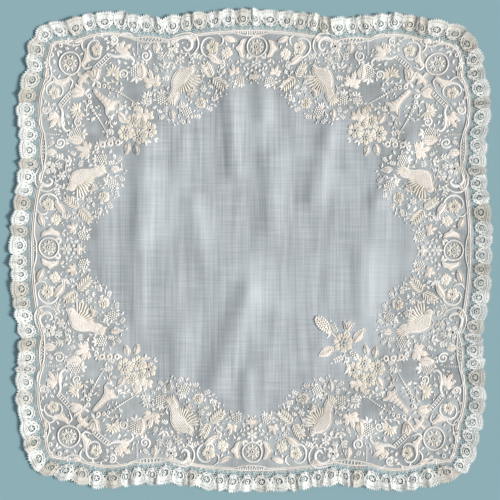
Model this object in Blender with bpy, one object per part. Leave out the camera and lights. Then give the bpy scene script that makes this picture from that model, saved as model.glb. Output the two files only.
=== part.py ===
"""An embroidered handkerchief laid out flat: a fine linen square with a scalloped, corded
edge and raised white embroidery, and one strip of gathered lace sewn on all round it.

Metres, +Z up. The origin is the middle of the underside, on the surface it lies on, and +Y
points to the top edge of the handkerchief as it is laid out.
"""

import math

import bmesh
import bpy
import numpy as np
from mathutils import Vector
from mathutils.geometry import delaunay_2d_cdt

MM = 0.001

# Driving sizes, in millimetres until the last step
LINEN_THICK = 1.0
CORD_RISE = 0.5
CORD_WIDTH = 2.4
LACE_THICK = 1.0
LACE_DEPTH = 17.9
LACE_GAP = 0.3
LACE_SCALLOP_RISE = 1.5
LACE_CORNER_EXTRA = 0.8
LACE_TURN_REACH = 7
LACE_EASE_REACH = 3
GATHER_PULL = 0.4
STATIONS = 360
STATIONS_PER_SCALLOP = 3
POINTS_A_SIDE = 351
CORNER_ALONG = 175.0

# The scallops of half a side: where each starts and ends along the side, how far out its two
# cusps lie from the middle of the handkerchief, and how far its crown rises above them
SCALLOPS = (
    # name, start, end, start_out, end_out, rise
    ("middle lobe", -73.0, 73.0, 183.4, 183.4, 9.0),
    ("small lobe", 73.0, 102.0, 183.4, 185.0, 1.9),
    ("corner lobe", 102.0, 152.0, 185.0, 182.6, 5.4),
    ("corner tip", 152.0, CORNER_ALONG, 182.6, 180.0, 1.2),
)
LOBE_FULLNESS = 0.75

# How far each side lies outside or inside the even square, near its first corner, at its
# middle and near its last corner, going round anticlockwise from the bottom left
SIDES = (
    # name, normal, along, first, middle, last
    ("bottom", (0, -1), (1, 0), -0.6, -0.9, 2.2),
    ("right", (1, 0), (0, 1), -2.4, -0.8, 1.6),
    ("top", (0, 1), (-1, 0), 0.7, 0.8, 1.8),
    ("left", (-1, 0), (0, -1), -3.4, 0.0, -1.8),
)
WANDER_REACH = 125.0
EDGE_OUT = 185.0

# The soft folds that the linen keeps: each is a low ridge along a line
FOLDS = (
    # name, start, end, rise, half_width
    ("long left", (-92, 92), (-99, -56), 2.8, 12.0),
    ("top left", (-19, 146), (-14, 70), 2.5, 10.0),
    ("top short", (10, 158), (11, 118), 2.1, 8.5),
    ("middle", (18, 78), (17, 22), 2.3, 12.0),
    ("slanting", (69, 108), (54, 46), 2.4, 11.0),
    ("short slanting", (66, 98), (97, 60), 0.8, 9.0),
    ("low slanting", (-3, -36), (-31, -116), 2.9, 13.0),
    ("upper right", (146, 110), (110, 44), 1.7, 10.0),
    ("right", (108, 40), (106, 12), 0.9, 10.0),
    ("low right", (97, -4), (98, -52), 1.6, 11.0),
    ("low left", (-65, -74), (-63, -110), 1.9, 12.0),
    ("inner left", (-49, 40), (-42, -8), 1.6, 11.0),
    ("low middle", (-4, -108), (-4, -140), 1.7, 7.0),
)
FOLD_SHARPNESS = 1.4
FLAT_BELOW = 0.05

# The gathers of the lace: on each side, how many waves it has, how high their crests stand and
# how the waves are shifted along
GATHERS = (
    # name, waves, crest, shift
    ("bottom", 15, 2.6, 0.10),
    ("right", 14, 2.1, 0.55),
    ("top", 14, 2.3, 0.30),
    ("left", 13, 1.9, 0.80),
)
LACE_COLUMNS = (0.0, 0.36, 0.7, 1.0)
GATHER_UNEVENNESS = 0.9
GATHER_BEAT = 0.31
CORNER_EASE = 6.0
CORNER_LIFT = 0.25

# Raised embroidery. Each row is one motif of the even design in the eighth of the square
# that lies left of the top edge's middle, and is repeated by reflection: on_diagonal and
# on_middle motifs come four times, the others eight times.
RINGS = (
    # name, across, out, radius, rope
    ("corner medallion", 161.6, 161.6, 10.2, 1.6),
    ("middle medallion", 0.0, 176.6, 8.6, 1.5),
    ("scroll", 37.0, 176.0, 9.4, 1.5),
    ("corner scroll", 132.0, 171.5, 9.6, 1.5),
)
PADS = (
    # name, across, out, half_length, half_width, turn_deg
    ("bouquet", 103.0, 103.0, 18.0, 10.5, -45.0),
    ("horn", 132.0, 132.0, 15.0, 4.4, 45.0),
    ("bird", 60.0, 143.0, 16.5, 6.2, 62.0),
    ("spiral flower", 119.0, 156.0, 6.8, 6.2, 0.0),
    ("seed head", 100.0, 154.0, 7.0, 5.6, 40.0),
    ("tulip", 85.0, 150.0, 6.6, 4.4, 60.0),
)
# The spray in the lower right of the plain middle, which comes once
SPRAY = (
    # name, x, y, half_length, half_width, turn_deg
    ("bud", 62.0, -64.0, 8.0, 4.8, 132.0),
    ("bloom", 80.0, -80.0, 8.4, 7.6, 0.0),
    ("leaf left", 64.5, -88.5, 6.5, 3.0, 30.0),
    ("leaf right", 96.0, -73.0, 6.5, 3.0, 60.0),
    ("stem", 83.0, -99.0, 8.0, 2.6, 78.0),
)
MOTIF_RISE = 0.6
RING_POINTS = 16
PAD_POINTS = 12
PAD_CROWN = 0.68

# The plain triangles between the motifs: closer together across the folds than along them
GRID_ACROSS = 8.0
GRID_ALONG = 15.0
CLEAR_OF_EDGE = 4.5
CLEAR_OF_MOTIF = 1.6


def clear_scene():
    """Removes every object that is there when the script starts."""
    for thing in list(bpy.data.objects):
        bpy.data.objects.remove(thing, do_unlink=True)


def named_material(name, colour, roughness):
    """A plain Principled material, of a cloth that isn't metal."""
    material = bpy.data.materials.new(name)
    material.use_nodes = True
    shader = material.node_tree.nodes["Principled BSDF"]
    shader.inputs["Base Color"].default_value = (*colour, 1.0)
    shader.inputs["Roughness"].default_value = roughness
    shader.inputs["Metallic"].default_value = 0.0
    return material


def scallop_out(along):
    """How far out the even edge lies at a distance along a side from its middle."""
    reach = abs(along)
    for _, start, end, start_out, end_out, rise in SCALLOPS:
        if start <= reach <= end:
            share = (reach - start) / (end - start)
            chord = start_out + (end_out - start_out) * share
            return chord + rise * max(0.0, math.sin(math.pi * share)) ** LOBE_FULLNESS
    return SCALLOPS[-1][4]


def wander(side, along):
    """How far a side lies outside the even square there: a parabola through three offsets."""
    _, _, _, first, middle, last = side
    share = max(-1.0, min(1.0, along / WANDER_REACH))
    return middle + share * (last - first) / 2 + share * share * ((last + first) / 2 - middle)


def linen_outline():
    """The scalloped edge as STATIONS points, evenly spaced, anticlockwise from the bottom left."""
    fine = []
    for side in SIDES:
        normal, direction = np.array(side[1], float), np.array(side[2], float)
        for along in np.linspace(-CORNER_ALONG, CORNER_ALONG, POINTS_A_SIDE):
            out = scallop_out(along) + wander(side, along)
            fine.append(normal * out + direction * along)
    fine = np.array(fine + fine[:1])
    steps = np.linalg.norm(np.diff(fine, axis=0), axis=1)
    length = np.concatenate([[0.0], np.cumsum(steps)])
    places = np.linspace(0.0, length[-1], STATIONS, endpoint=False)
    return np.column_stack([np.interp(places, length, fine[:, k]) for k in (0, 1)])


def smoothed(loop, reach):
    """A closed line with each point replaced by the mean of its neighbours within reach."""
    return sum(np.roll(loop, k, axis=0) for k in range(-reach, reach + 1)) / (2 * reach + 1)


def outward(loop):
    """The outward unit normals of an anticlockwise closed line."""
    tangent = np.roll(loop, -1, axis=0) - np.roll(loop, 1, axis=0)
    normal = np.column_stack([tangent[:, 1], -tangent[:, 0]])
    return normal / np.linalg.norm(normal, axis=1)[:, None]


def lace_edges(outline):
    """The inner and outer edge of the lace, station by station beside the linen's edge."""
    inner = outline + outward(outline) * LACE_GAP
    normal = outward(smoothed(outline, LACE_TURN_REACH))
    phase = np.arange(STATIONS) % STATIONS_PER_SCALLOP
    scallop = np.where(phase == 0, 0.0, LACE_SCALLOP_RISE)
    corner = np.abs(normal[:, 0] * normal[:, 1]) * 2
    depth = LACE_DEPTH - LACE_SCALLOP_RISE + scallop + LACE_CORNER_EXTRA * corner**2
    depth -= GATHER_PULL * lace_height(1.0)
    outer = smoothed(outline, LACE_EASE_REACH) + normal * depth[:, None]
    return inner, outer


def fold_height(points):
    """How high the linen's underside lifts off the surface at each point."""
    height = np.zeros(len(points))
    for _, start, end, rise, half_width in FOLDS:
        start, end = np.array(start, float), np.array(end, float)
        line = end - start
        share = np.clip((points - start) @ line / (line @ line), 0.0, 1.0)
        away = np.linalg.norm(points - (start + share[:, None] * line), axis=1)
        height += rise * np.exp(-((away / half_width) ** 2) * FOLD_SHARPNESS)
    return np.where(height < FLAT_BELOW, 0.0, height)


def lace_height(share):
    """How high the lace lifts at its outer edge, station by station."""
    height = np.zeros(STATIONS)
    side_length = STATIONS // len(GATHERS)
    for number, (_, waves, crest, shift) in enumerate(GATHERS):
        place = np.arange(side_length) / side_length
        turn = 2 * math.pi * (waves * place + shift)
        uneven = GATHER_UNEVENNESS * np.sin(turn * GATHER_BEAT + number)
        lift = 0.5 + 0.5 * np.sin(turn + uneven)
        ends = np.clip(np.sin(math.pi * place) * CORNER_EASE, CORNER_LIFT, 1.0)
        first = number * side_length
        height[first:first + side_length] = crest * lift * ends
    return height * share**1.5


def mirrored(across, out, turn):
    """Every place, turn and handedness of a motif given once for the even design."""
    places = {}
    for swap in (False, True):
        for sign_x in (-1, 1):
            for sign_y in (-1, 1):
                x, y = (out, across) if swap else (across, out)
                angle = (90.0 - turn) if swap else turn
                if sign_x < 0:
                    angle = 180.0 - angle
                if sign_y < 0:
                    angle = -angle
                places[(round(x * sign_x, 3), round(y * sign_y, 3))] = math.radians(angle)
    return [(x, y, angle) for (x, y), angle in sorted(places.items())]


def ellipse(x, y, length, width, angle, count):
    """Points round an ellipse, anticlockwise."""
    turns = np.arange(count) * 2 * math.pi / count
    flat = np.column_stack([np.cos(turns) * length, np.sin(turns) * width])
    along = np.array([math.cos(angle), math.sin(angle)])
    across = np.array([-along[1], along[0]])
    return np.array([x, y]) + flat[:, :1] * along + flat[:, 1:] * across


def design_to_cloth(x, y):
    """Moves a place in the even square to the cloth, whose sides lie a little in or out."""
    moved = np.array([x, y], float)
    for side in SIDES:
        normal, direction = np.array(side[1], float), np.array(side[2], float)
        out = moved @ normal
        if out > 0:
            moved = moved + normal * wander(side, moved @ direction) * (out / EDGE_OUT) ** 2
    return moved


def motif_loops():
    """Every raised loop: its points, and how high it stands above the sheet."""
    loops, keep_clear = [], []
    for _, across, out, radius, rope in RINGS:
        for x, y, _ in mirrored(across, out, 0.0):
            x, y = design_to_cloth(x, y)
            for grow, rise in ((rope / 2, 0.0), (0.0, MOTIF_RISE), (-rope / 2, 0.0)):
                points = ellipse(x, y, radius + grow, radius + grow, 0.0, RING_POINTS)
                loops.append((points, rise))
            keep_clear.append((x, y, radius, radius, 0.0))
    pads = [(x, y, length, width, math.radians(turn)) for _, x, y, length, width, turn in SPRAY]
    for _, across, out, length, width, turn in PADS:
        for x, y, angle in mirrored(across, out, turn):
            pads.append((*design_to_cloth(x, y), length, width, angle))
    for x, y, length, width, angle in pads:
        loops.append((ellipse(x, y, length, width, angle, PAD_POINTS), 0.0))
        crown = ellipse(x, y, length * PAD_CROWN, width * PAD_CROWN, angle, PAD_POINTS)
        loops.append((crown, MOTIF_RISE))
        keep_clear.append((x, y, length, width, angle))
    return loops, keep_clear


def plain_grid(outline, keep_clear):
    """The points of the plain cloth, staggered row by row, clear of the edge and the motifs."""
    reach = np.abs(outline).max()
    rows = np.arange(-reach, reach, GRID_ALONG)
    points = []
    for number, y in enumerate(rows):
        shift = GRID_ACROSS / 2 * (number % 2)
        points += [(x + shift, y) for x in np.arange(-reach, reach, GRID_ACROSS)]
    points = np.array(points)
    normal = outward(outline)
    nearest = np.argmin(np.linalg.norm(points[:, None] - outline[None], axis=2), axis=1)
    inside = np.einsum("ij,ij->i", outline[nearest] - points, normal[nearest])
    keep = inside > CLEAR_OF_EDGE
    for x, y, length, width, angle in keep_clear:
        away = points - np.array([x, y])
        along = away @ np.array([math.cos(angle), math.sin(angle)])
        across = away @ np.array([-math.sin(angle), math.cos(angle)])
        grown = (along / (length + CLEAR_OF_MOTIF)) ** 2 + (across / (width + CLEAR_OF_MOTIF)) ** 2
        keep &= grown > 1.0
    return points[keep]


def triangulated(loops, points):
    """Delaunay triangles inside the first loop that keep every loop's edges."""
    flat, edges = [], []
    for loop in loops:
        first = len(flat)
        flat += [Vector(p) for p in loop]
        edges += [(first + k, first + (k + 1) % len(loop)) for k in range(len(loop))]
    flat += [Vector(p) for p in points]
    made = delaunay_2d_cdt(flat, edges, [], 1, 1e-6)
    return np.array([tuple(v) for v in made[0]]), made[2], made[3]


def linen_mesh(outline):
    """The linen square: a thin closed sheet whose upper face carries cord and embroidery."""
    normal = outward(outline)
    crest = outline - normal * CORD_WIDTH / 2
    foot = outline - normal * CORD_WIDTH
    motifs, keep_clear = motif_loops()
    raised = [(outline, 0.0), (crest, CORD_RISE), (foot, 0.0), *motifs]
    grid = plain_grid(outline, keep_clear)
    top, top_faces, sources = triangulated([loop for loop, _ in raised], grid)
    rises = np.concatenate([[rise] * len(loop) for loop, rise in raised] + [np.zeros(len(grid))])
    top_rise = np.array([rises[source[0]] for source in sources])
    open_grid = plain_grid(outline, [])
    low, low_faces, low_sources = triangulated([outline], open_grid)

    shape = bmesh.new()
    top_z = fold_height(top) + LINEN_THICK + top_rise
    low_z = fold_height(low)
    upper = [shape.verts.new((*p, z)) for p, z in zip(top, top_z)]
    lower = [shape.verts.new((*p, z)) for p, z in zip(low, low_z)]
    for face in top_faces:
        shape.faces.new([upper[k] for k in face])
    for face in low_faces:
        shape.faces.new([lower[k] for k in reversed(face)])
    rim_top = {source[0]: upper[k] for k, source in enumerate(sources) if source[0] < STATIONS}
    rim_low = {s[0]: lower[k] for k, s in enumerate(low_sources) if s[0] < STATIONS}
    for k in range(STATIONS):
        after = (k + 1) % STATIONS
        shape.faces.new((rim_low[k], rim_low[after], rim_top[after], rim_top[k]))
    return shape


def lace_mesh(outline):
    """The lace edging: an open gathered band, extruded down to its thickness."""
    inner, outer = lace_edges(outline)
    shape = bmesh.new()
    columns = []
    for share in LACE_COLUMNS:
        place = inner + (outer - inner) * share
        height = lace_height(share) + LACE_THICK
        columns.append([shape.verts.new((*p, z)) for p, z in zip(place, height)])
    for near, far in zip(columns, columns[1:]):
        for k in range(STATIONS):
            after = (k + 1) % STATIONS
            shape.faces.new((near[k], far[k], far[after], near[after]))
    bmesh.ops.triangulate(shape, faces=shape.faces[:])
    lower = bmesh.ops.extrude_face_region(shape, geom=shape.faces[:], use_keep_orig=True)
    moved = [part for part in lower["geom"] if isinstance(part, bmesh.types.BMVert)]
    bmesh.ops.translate(shape, verts=moved, vec=(0.0, 0.0, -LACE_THICK))
    return shape


def finished_object(name, shape, centre, material, collection):
    """Turns a shape in millimetres into a named object in metres, centred on the origin."""
    bmesh.ops.translate(shape, verts=shape.verts[:], vec=(-centre[0], -centre[1], 0.0))
    bmesh.ops.scale(shape, verts=shape.verts[:], vec=(MM, MM, MM))
    bmesh.ops.recalc_face_normals(shape, faces=shape.faces[:])
    mesh = bpy.data.meshes.new(name)
    shape.to_mesh(mesh)
    shape.free()
    mesh.materials.append(material)
    thing = bpy.data.objects.new(name, mesh)
    collection.objects.link(thing)
    return thing


def main():
    clear_scene()
    collection = bpy.data.collections.new("embroidered_handkerchief")
    bpy.context.scene.collection.children.link(collection)
    linen = named_material("sheer linen", (0.52, 0.57, 0.61), 0.85)
    thread = named_material("lace thread", (0.80, 0.79, 0.74), 0.8)
    outline = linen_outline()
    _, outer = lace_edges(outline)
    centre = (outer.min(axis=0) + outer.max(axis=0)) / 2
    finished_object("linen_square", linen_mesh(outline), centre, linen, collection)
    finished_object("lace_edging", lace_mesh(outline), centre, thread, collection)


main()
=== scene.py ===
# %% [markdown]
# # An embroidered handkerchief with a lace edge
# The real thing is one square of linen so fine that the table shows through it. A deep
# border of raised white stitching runs round it, its edge is cut in shallow scallops and
# corded, and a narrow strip of lace is gathered and sewn on all round. This file dresses the
# plain solids of the part: the linen becomes a thin sheer sheet, every stitched leaf, knot and
# cord is a small mound of its own, and the lace is cut open down to its net.
#
# Work in millimetres while drawing patterns, and turn them into metres once, at the end.

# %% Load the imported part
import math

import bpy
import numpy as np
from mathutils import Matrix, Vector
from mathutils.geometry import delaunay_2d_cdt


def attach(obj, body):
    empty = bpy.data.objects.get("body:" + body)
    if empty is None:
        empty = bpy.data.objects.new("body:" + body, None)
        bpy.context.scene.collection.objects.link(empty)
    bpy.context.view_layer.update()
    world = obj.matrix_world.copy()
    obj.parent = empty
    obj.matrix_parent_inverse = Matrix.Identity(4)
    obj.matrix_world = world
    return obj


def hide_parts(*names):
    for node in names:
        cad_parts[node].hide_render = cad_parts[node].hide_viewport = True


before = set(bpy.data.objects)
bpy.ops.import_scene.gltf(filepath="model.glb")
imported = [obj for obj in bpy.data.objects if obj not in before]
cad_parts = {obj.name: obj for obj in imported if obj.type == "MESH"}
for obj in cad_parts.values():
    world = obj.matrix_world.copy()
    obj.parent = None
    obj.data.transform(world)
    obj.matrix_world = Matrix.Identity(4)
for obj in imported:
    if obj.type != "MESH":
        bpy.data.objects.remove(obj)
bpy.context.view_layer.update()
MM = 0.001

# %% [markdown]
# ## Read the edges of the cloth
# The scalloped edge is the one line that linen, cord and lace share. It could be drawn again
# here, but then two files would have to agree. The solids already hold it: their only upright
# faces stand along their rims, so the corners of those faces are the edge.

# %% Read the edges of the cloth
UPRIGHT = 0.2
SEAM_REACH = 3.0


def rim_of(node):
    """Where a node's upright faces stand: rows of x, y, lowest and highest, in millimetres."""
    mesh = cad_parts[node].data
    rows = {}
    for face in mesh.polygons:
        if abs(face.normal.z) < UPRIGHT:
            for index in face.vertices:
                x, y, z = mesh.vertices[index].co / MM
                low, high = rows.get((round(x, 2), round(y, 2)), (z, z))
                rows[(round(x, 2), round(y, 2))] = (min(low, z), max(high, z))
    return np.array([(*place, *ends) for place, ends in rows.items()])


def in_turn(rows):
    """The same rows in order round the middle, anticlockwise."""
    return rows[np.argsort(np.arctan2(rows[:, 1], rows[:, 0]))]


def along(loop, place):
    """Points of a closed loop at fractional places along it, on a smooth curve."""
    place = np.asarray(place, float)
    first = np.floor(place).astype(int)
    t = (place - first)[:, None]
    a, b, c, d = (loop[(first + k) % len(loop)] for k in (-1, 0, 1, 2))
    return 0.5 * (
        2 * b + (c - a) * t + (2 * a - 5 * b + 4 * c - d) * t**2 + (3 * b - a - 3 * c + d) * t**3
    )


def outward(loop):
    """The outward unit normals of an anticlockwise loop."""
    tangent = np.roll(loop, -1, axis=0) - np.roll(loop, 1, axis=0)
    normal = np.column_stack([tangent[:, 1], -tangent[:, 0]])
    return normal / np.linalg.norm(normal, axis=1)[:, None]


def softened(values, reach):
    """Values round a loop, each the mean of its neighbours."""
    return sum(np.roll(values, k, axis=0) for k in range(-reach, reach + 1)) / (2 * reach + 1)


linen_edge = in_turn(rim_of("linen_square"))[:, :2]
lace_rims = rim_of("lace_edging")
to_linen = np.linalg.norm(lace_rims[:, None, :2] - linen_edge[None], axis=2).min(axis=1)
lace_outer = in_turn(lace_rims[to_linen > SEAM_REACH])
shifts = range(-4, 5)
apart = [np.linalg.norm(np.roll(lace_outer[:, :2], k, axis=0) - linen_edge, axis=1).sum() for k in shifts]
lace_outer = np.roll(lace_outer, shifts[int(np.argmin(apart))], axis=0)
STATIONS = len(linen_edge)
print("stations round the edge:", STATIONS, len(lace_outer))

# %% [markdown]
# ## Folds of the linen
# Starched linen that has been folded away keeps soft ridges. Blender's cloth simulation would
# make folds of its own, but these ones are known: each is a line with a height and a width,
# as in the solid, and a few shallow creases go between them. One row has a height below zero
# and takes some height back where the long fold at the left fades. Adding up such soft ridges
# gives the height of the sheet anywhere, for the linen and for every stitch that sits on it.

# %% Folds of the linen
SHEET_BASE = 0.5
FOLD_SHARPNESS = 1.4
FOLDS = (
    # name, start, end, rise, half_width
    ("long left", (-92, 92), (-99, -56), 2.8, 12.0),
    ("top left", (-19, 146), (-14, 70), 2.5, 10.0),
    ("top short", (10, 158), (11, 118), 2.1, 8.5),
    ("middle", (18, 78), (17, 22), 2.3, 12.0),
    ("slanting", (69, 108), (54, 46), 2.4, 11.0),
    ("short slanting", (66, 98), (97, 60), 0.8, 9.0),
    ("low slanting", (-3, -36), (-31, -116), 2.9, 13.0),
    ("upper right", (146, 110), (110, 44), 1.7, 10.0),
    ("right", (108, 40), (106, 12), 0.9, 10.0),
    ("low right", (97, -4), (98, -52), 1.6, 11.0),
    ("low left", (-65, -74), (-63, -110), 1.9, 12.0),
    ("inner left", (-49, 40), (-42, -8), 1.6, 11.0),
    ("low middle", (-4, -108), (-4, -140), 1.7, 7.0),
    ("long left eased", (-97, -2), (-99, -56), -1.1, 12.0),
    ("crease left", (-60, 94), (-63, 62), 0.6, 7.0),
    ("crease across", (-76, 2), (6, -8), 0.4, 9.0),
    ("crease low", (24, -52), (10, -128), 0.6, 8.0),
    ("crease right", (70, 20), (72, -40), 0.5, 9.0),
    ("crease top", (38, 150), (36, 108), 0.7, 7.0),
    ("crease far left", (-128, 60), (-130, -40), 0.7, 8.0),
    ("crease far right", (138, 40), (136, -50), 0.7, 8.0),
    ("crease low right", (58, -84), (50, -132), 0.7, 8.0),
    ("crease corner", (-128, 130), (-112, 96), 0.9, 8.0),
    ("crease low corner", (118, -96), (138, -134), 0.9, 8.0),
    ("crease bottom", (-44, -140), (-38, -170), 0.8, 7.0),
    ("crease high", (-76, 168), (-70, 130), 0.8, 7.0),
)


def sheet_height(x, y):
    """The height of the linen above the table at each place, in millimetres."""
    places = np.column_stack([x, y])
    height = np.full(len(places), SHEET_BASE)
    for _, start, end, rise, half_width in FOLDS:
        start = np.array(start, float)
        line = np.array(end, float) - start
        share = np.clip((places - start) @ line / (line @ line), 0.0, 1.0)
        away = np.linalg.norm(places - (start + share[:, None] * line), axis=1)
        height += rise * np.exp(-((away / half_width) ** 2) * FOLD_SHARPNESS)
    return height


# %% [markdown]
# ## From the even pattern to the uneven cloth
# The embroiderer drew one eighth of the border and pricked it through eight times. The cloth
# has since been washed and pulled, so no two sides are quite alike. So the pattern is drawn
# here on an even square, and one function moves every point to where the cloth now has it.

# %% From the even pattern to the uneven cloth
WANDER_REACH = 125.0
EDGE_OUT = 185.0
STITCH_RISE = 0.8
SIDES = (
    # name, normal, along, first, middle, last, slide
    ("bottom", (0, -1), (1, 0), -0.6, -0.9, 2.2, 0.4),
    ("right", (1, 0), (0, 1), -2.4, -0.8, 1.6, 0.0),
    ("top", (0, 1), (-1, 0), 0.7, 0.8, 1.8, -5.0),
    ("left", (-1, 0), (0, -1), -3.4, 0.0, -1.8, -2.5),
)


def to_cloth(points):
    """Moves points of the even square to the cloth: x, y and lift become x, y and z."""
    x, y = points[:, 0].astype(float), points[:, 1].astype(float)
    x = x + 0.45 * np.sin(0.071 * y + 1.0) + 0.3 * np.sin(0.19 * x + 0.13 * y)
    y = y + 0.45 * np.sin(0.067 * x + 2.0) + 0.3 * np.sin(0.17 * y - 0.15 * x)
    for _, normal, direction, first, middle, last, slide in SIDES:
        out = x * normal[0] + y * normal[1]
        share = np.clip((x * direction[0] + y * direction[1]) / WANDER_REACH, -1.0, 1.0)
        wander = middle + share * (last - first) / 2 + share**2 * ((last + first) / 2 - middle)
        near = np.clip(out / EDGE_OUT, 0.0, None) ** 2
        slid = slide * near * np.cos(share * math.pi / 2) ** 2
        x = x + normal[0] * wander * near + direction[0] * slid
        y = y + normal[1] * wander * near + direction[1] * slid
    return np.column_stack([x, y, sheet_height(x, y) + points[:, 2] * STITCH_RISE])


def on_sheet(mound):
    """A mound that was drawn on the flat, laid on the folds."""
    points, faces, threads = mound
    points[:, 2] = points[:, 2] * STITCH_RISE + sheet_height(points[:, 0], points[:, 1])
    return points, faces, threads


# %% [markdown]
# ## The stitches
# Whitework is made of very few stitches. Satin stitch lays threads side by side into leaves
# and petals, stem stitch makes cords, knots make seeds and beads, and larger shapes are
# padded first and then covered. Each is one small function that returns a mound: its points,
# its triangles, and where its threads run. The threads' own ridges are left to the material,
# which reads that last map.

# %% The stitches
def grid_faces(rows, columns, closed=False):
    """Triangles that join rows by columns points; closed joins the last row to the first."""
    row = np.arange(rows if closed else rows - 1)[:, None]
    near = row * columns + np.arange(columns - 1)[None]
    far = (row + 1) % rows * columns + np.arange(columns - 1)[None]
    return np.stack([near, far, far + 1, near, far + 1, near + 1], -1).reshape(-1, 3)


def turned(points, x, y, turn):
    """Points turned by degrees and moved to x, y."""
    c, s = math.cos(math.radians(turn)), math.sin(math.radians(turn))
    moved = points.copy()
    moved[:, 0] = x + points[:, 0] * c - points[:, 1] * s
    moved[:, 1] = y + points[:, 0] * s + points[:, 1] * c
    return moved


def petal(x, y, turn, length, width, lift=0.75, belly=0.5, rows=6, columns=5, point=0.75):
    """A leaf in satin stitch, from its root at x, y: widest at belly, blunt where point is small."""
    t = np.linspace(0.0, 1.0, rows)
    full = np.sin(np.pi * t ** (math.log(0.5) / math.log(belly))).clip(0.0) ** point
    v = np.linspace(-1.0, 1.0, columns)
    long = np.repeat(t * length, columns)
    wide = (full[:, None] * v * width / 2).ravel()
    high = (full[:, None] ** 0.5 * np.sqrt(1 - v**2) * lift).ravel()
    points = turned(np.column_stack([long, wide, high]), x, y, turn)
    return points, grid_faces(rows, columns), np.column_stack([long, wide])


def knot(x, y, radius, lift=0.8, sides=8):
    """A knotted seed: a small dome."""
    turns = np.arange(sides) * 2 * math.pi / sides
    ring = np.column_stack([np.cos(turns), np.sin(turns)])
    outer = np.column_stack([ring * radius, np.zeros(sides)])
    upper = np.column_stack([ring * radius * 0.7, np.full(sides, lift * 0.75)])
    points = np.vstack([outer, upper, [[0.0, 0.0, lift]]])
    k = np.arange(sides)
    after = (k + 1) % sides
    faces = np.vstack([
        np.column_stack([k, after, sides + after]),
        np.column_stack([k, sides + after, sides + k]),
        np.column_stack([sides + k, sides + after, np.full(sides, 2 * sides)]),
    ])
    return turned(points, x, y, 0.0), faces, points[:, :2].copy()


def cord(path, width, lift=0.7, closed=False, columns=4):
    """A cord of stem stitch along a path. The width is one number, or one for each point."""
    path = np.asarray(path, float)
    if closed:
        tangent = np.roll(path, -1, axis=0) - np.roll(path, 1, axis=0)
    else:
        tangent = np.gradient(path, axis=0)
    tangent /= np.maximum(np.linalg.norm(tangent, axis=1), 1e-9)[:, None]
    left = np.column_stack([-tangent[:, 1], tangent[:, 0]])
    steps = np.linalg.norm(np.diff(path, axis=0), axis=1)
    length = np.concatenate([[0.0], np.cumsum(steps)])
    v = np.linspace(-1.0, 1.0, columns)
    half = np.broadcast_to(np.asarray(width, float) / 2, (len(path),))
    flat = path[:, None] + left[:, None] * (v[None, :, None] * half[:, None, None])
    high = np.sqrt(1 - v**2)[None] * lift * np.minimum(1.0, half / half.max())[:, None]
    points = np.column_stack([flat.reshape(-1, 2), high.ravel()])
    threads = np.column_stack([np.repeat(length, columns), (half[:, None] * v).ravel()])
    return points, grid_faces(len(path), columns, closed), threads


# %% [markdown]
# A padded shape has an outline of its own, so it can't be a grid. A constrained Delaunay
# triangulation fills any outline with well-shaped triangles, and the height of each point
# follows from how far it is from the outline. That gives a flat-topped pillow, as padding does.

# %% Padded shapes
PAD_STEP = 1.25
PAD_ROUND = 1.7
CLOSE = 1e-6


def spaced(path, step, closed=False):
    """The same path with points about step apart."""
    path = np.asarray(path, float)
    if closed:
        path = np.vstack([path, path[:1]])
    length = np.concatenate([[0.0], np.cumsum(np.linalg.norm(np.diff(path, axis=0), axis=1))])
    count = max(3, int(round(length[-1] / step)) + 1)
    places = np.linspace(0.0, length[-1], count)[: count - 1 if closed else count]
    return np.column_stack([np.interp(places, length, path[:, k]) for k in (0, 1)])


def curve(points, step=1.1, closed=False):
    """A smooth path through a few points, as a Catmull-Rom curve."""
    points = np.asarray(points, float)
    if closed:
        return spaced(along(points, np.linspace(0, len(points), 12 * len(points))[:-1]), step, True)
    ends = np.vstack([2 * points[0] - points[1], points, 2 * points[-1] - points[-2]])
    fine = along(ends, np.linspace(1.0, len(points) - CLOSE, 12 * len(points)))
    return spaced(fine, step)


def away_from(places, loop):
    """The distance of each place from a closed loop."""
    start, line = loop, np.roll(loop, -1, axis=0) - loop
    offset = places[:, None] - start[None]
    share = np.clip((offset * line).sum(2) / np.maximum((line * line).sum(1), CLOSE), 0.0, 1.0)
    return np.linalg.norm(offset - share[..., None] * line, axis=2).min(axis=1)


def inside(places, loop):
    """Which places lie inside a closed loop, by counting crossings."""
    x, y = places[:, :1], places[:, 1:]
    x0, y0 = loop[:, 0], loop[:, 1]
    x1, y1 = np.roll(x0, -1), np.roll(y0, -1)
    spans = (y0 > y) != (y1 > y)
    rise = np.where(y1 == y0, CLOSE, y1 - y0)
    return (spans & (x < x0 + (y - y0) * (x1 - x0) / rise)).sum(axis=1) % 2 == 1


def filled(loops, places):
    """Triangles inside the first loop that keep the edges of every loop."""
    flat, edges = [], []
    for loop in loops:
        first = len(flat)
        flat += [Vector(p) for p in loop]
        edges += [(first + k, first + (k + 1) % len(loop)) for k in range(len(loop))]
    flat += [Vector(p) for p in places]
    made = delaunay_2d_cdt(flat, edges, [], 1, CLOSE)
    return np.array([tuple(p) for p in made[0]]), np.array([tuple(f) for f in made[2]])


def lattice(low, high, step):
    """Points a step apart in staggered rows, over a box."""
    rows = []
    for k, y in enumerate(np.arange(low[1], high[1], step * 0.87)):
        x = np.arange(low[0] + step / 2 * (k % 2), high[0], step)
        rows.append(np.column_stack([x, np.full_like(x, y)]))
    return np.vstack(rows)


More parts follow.
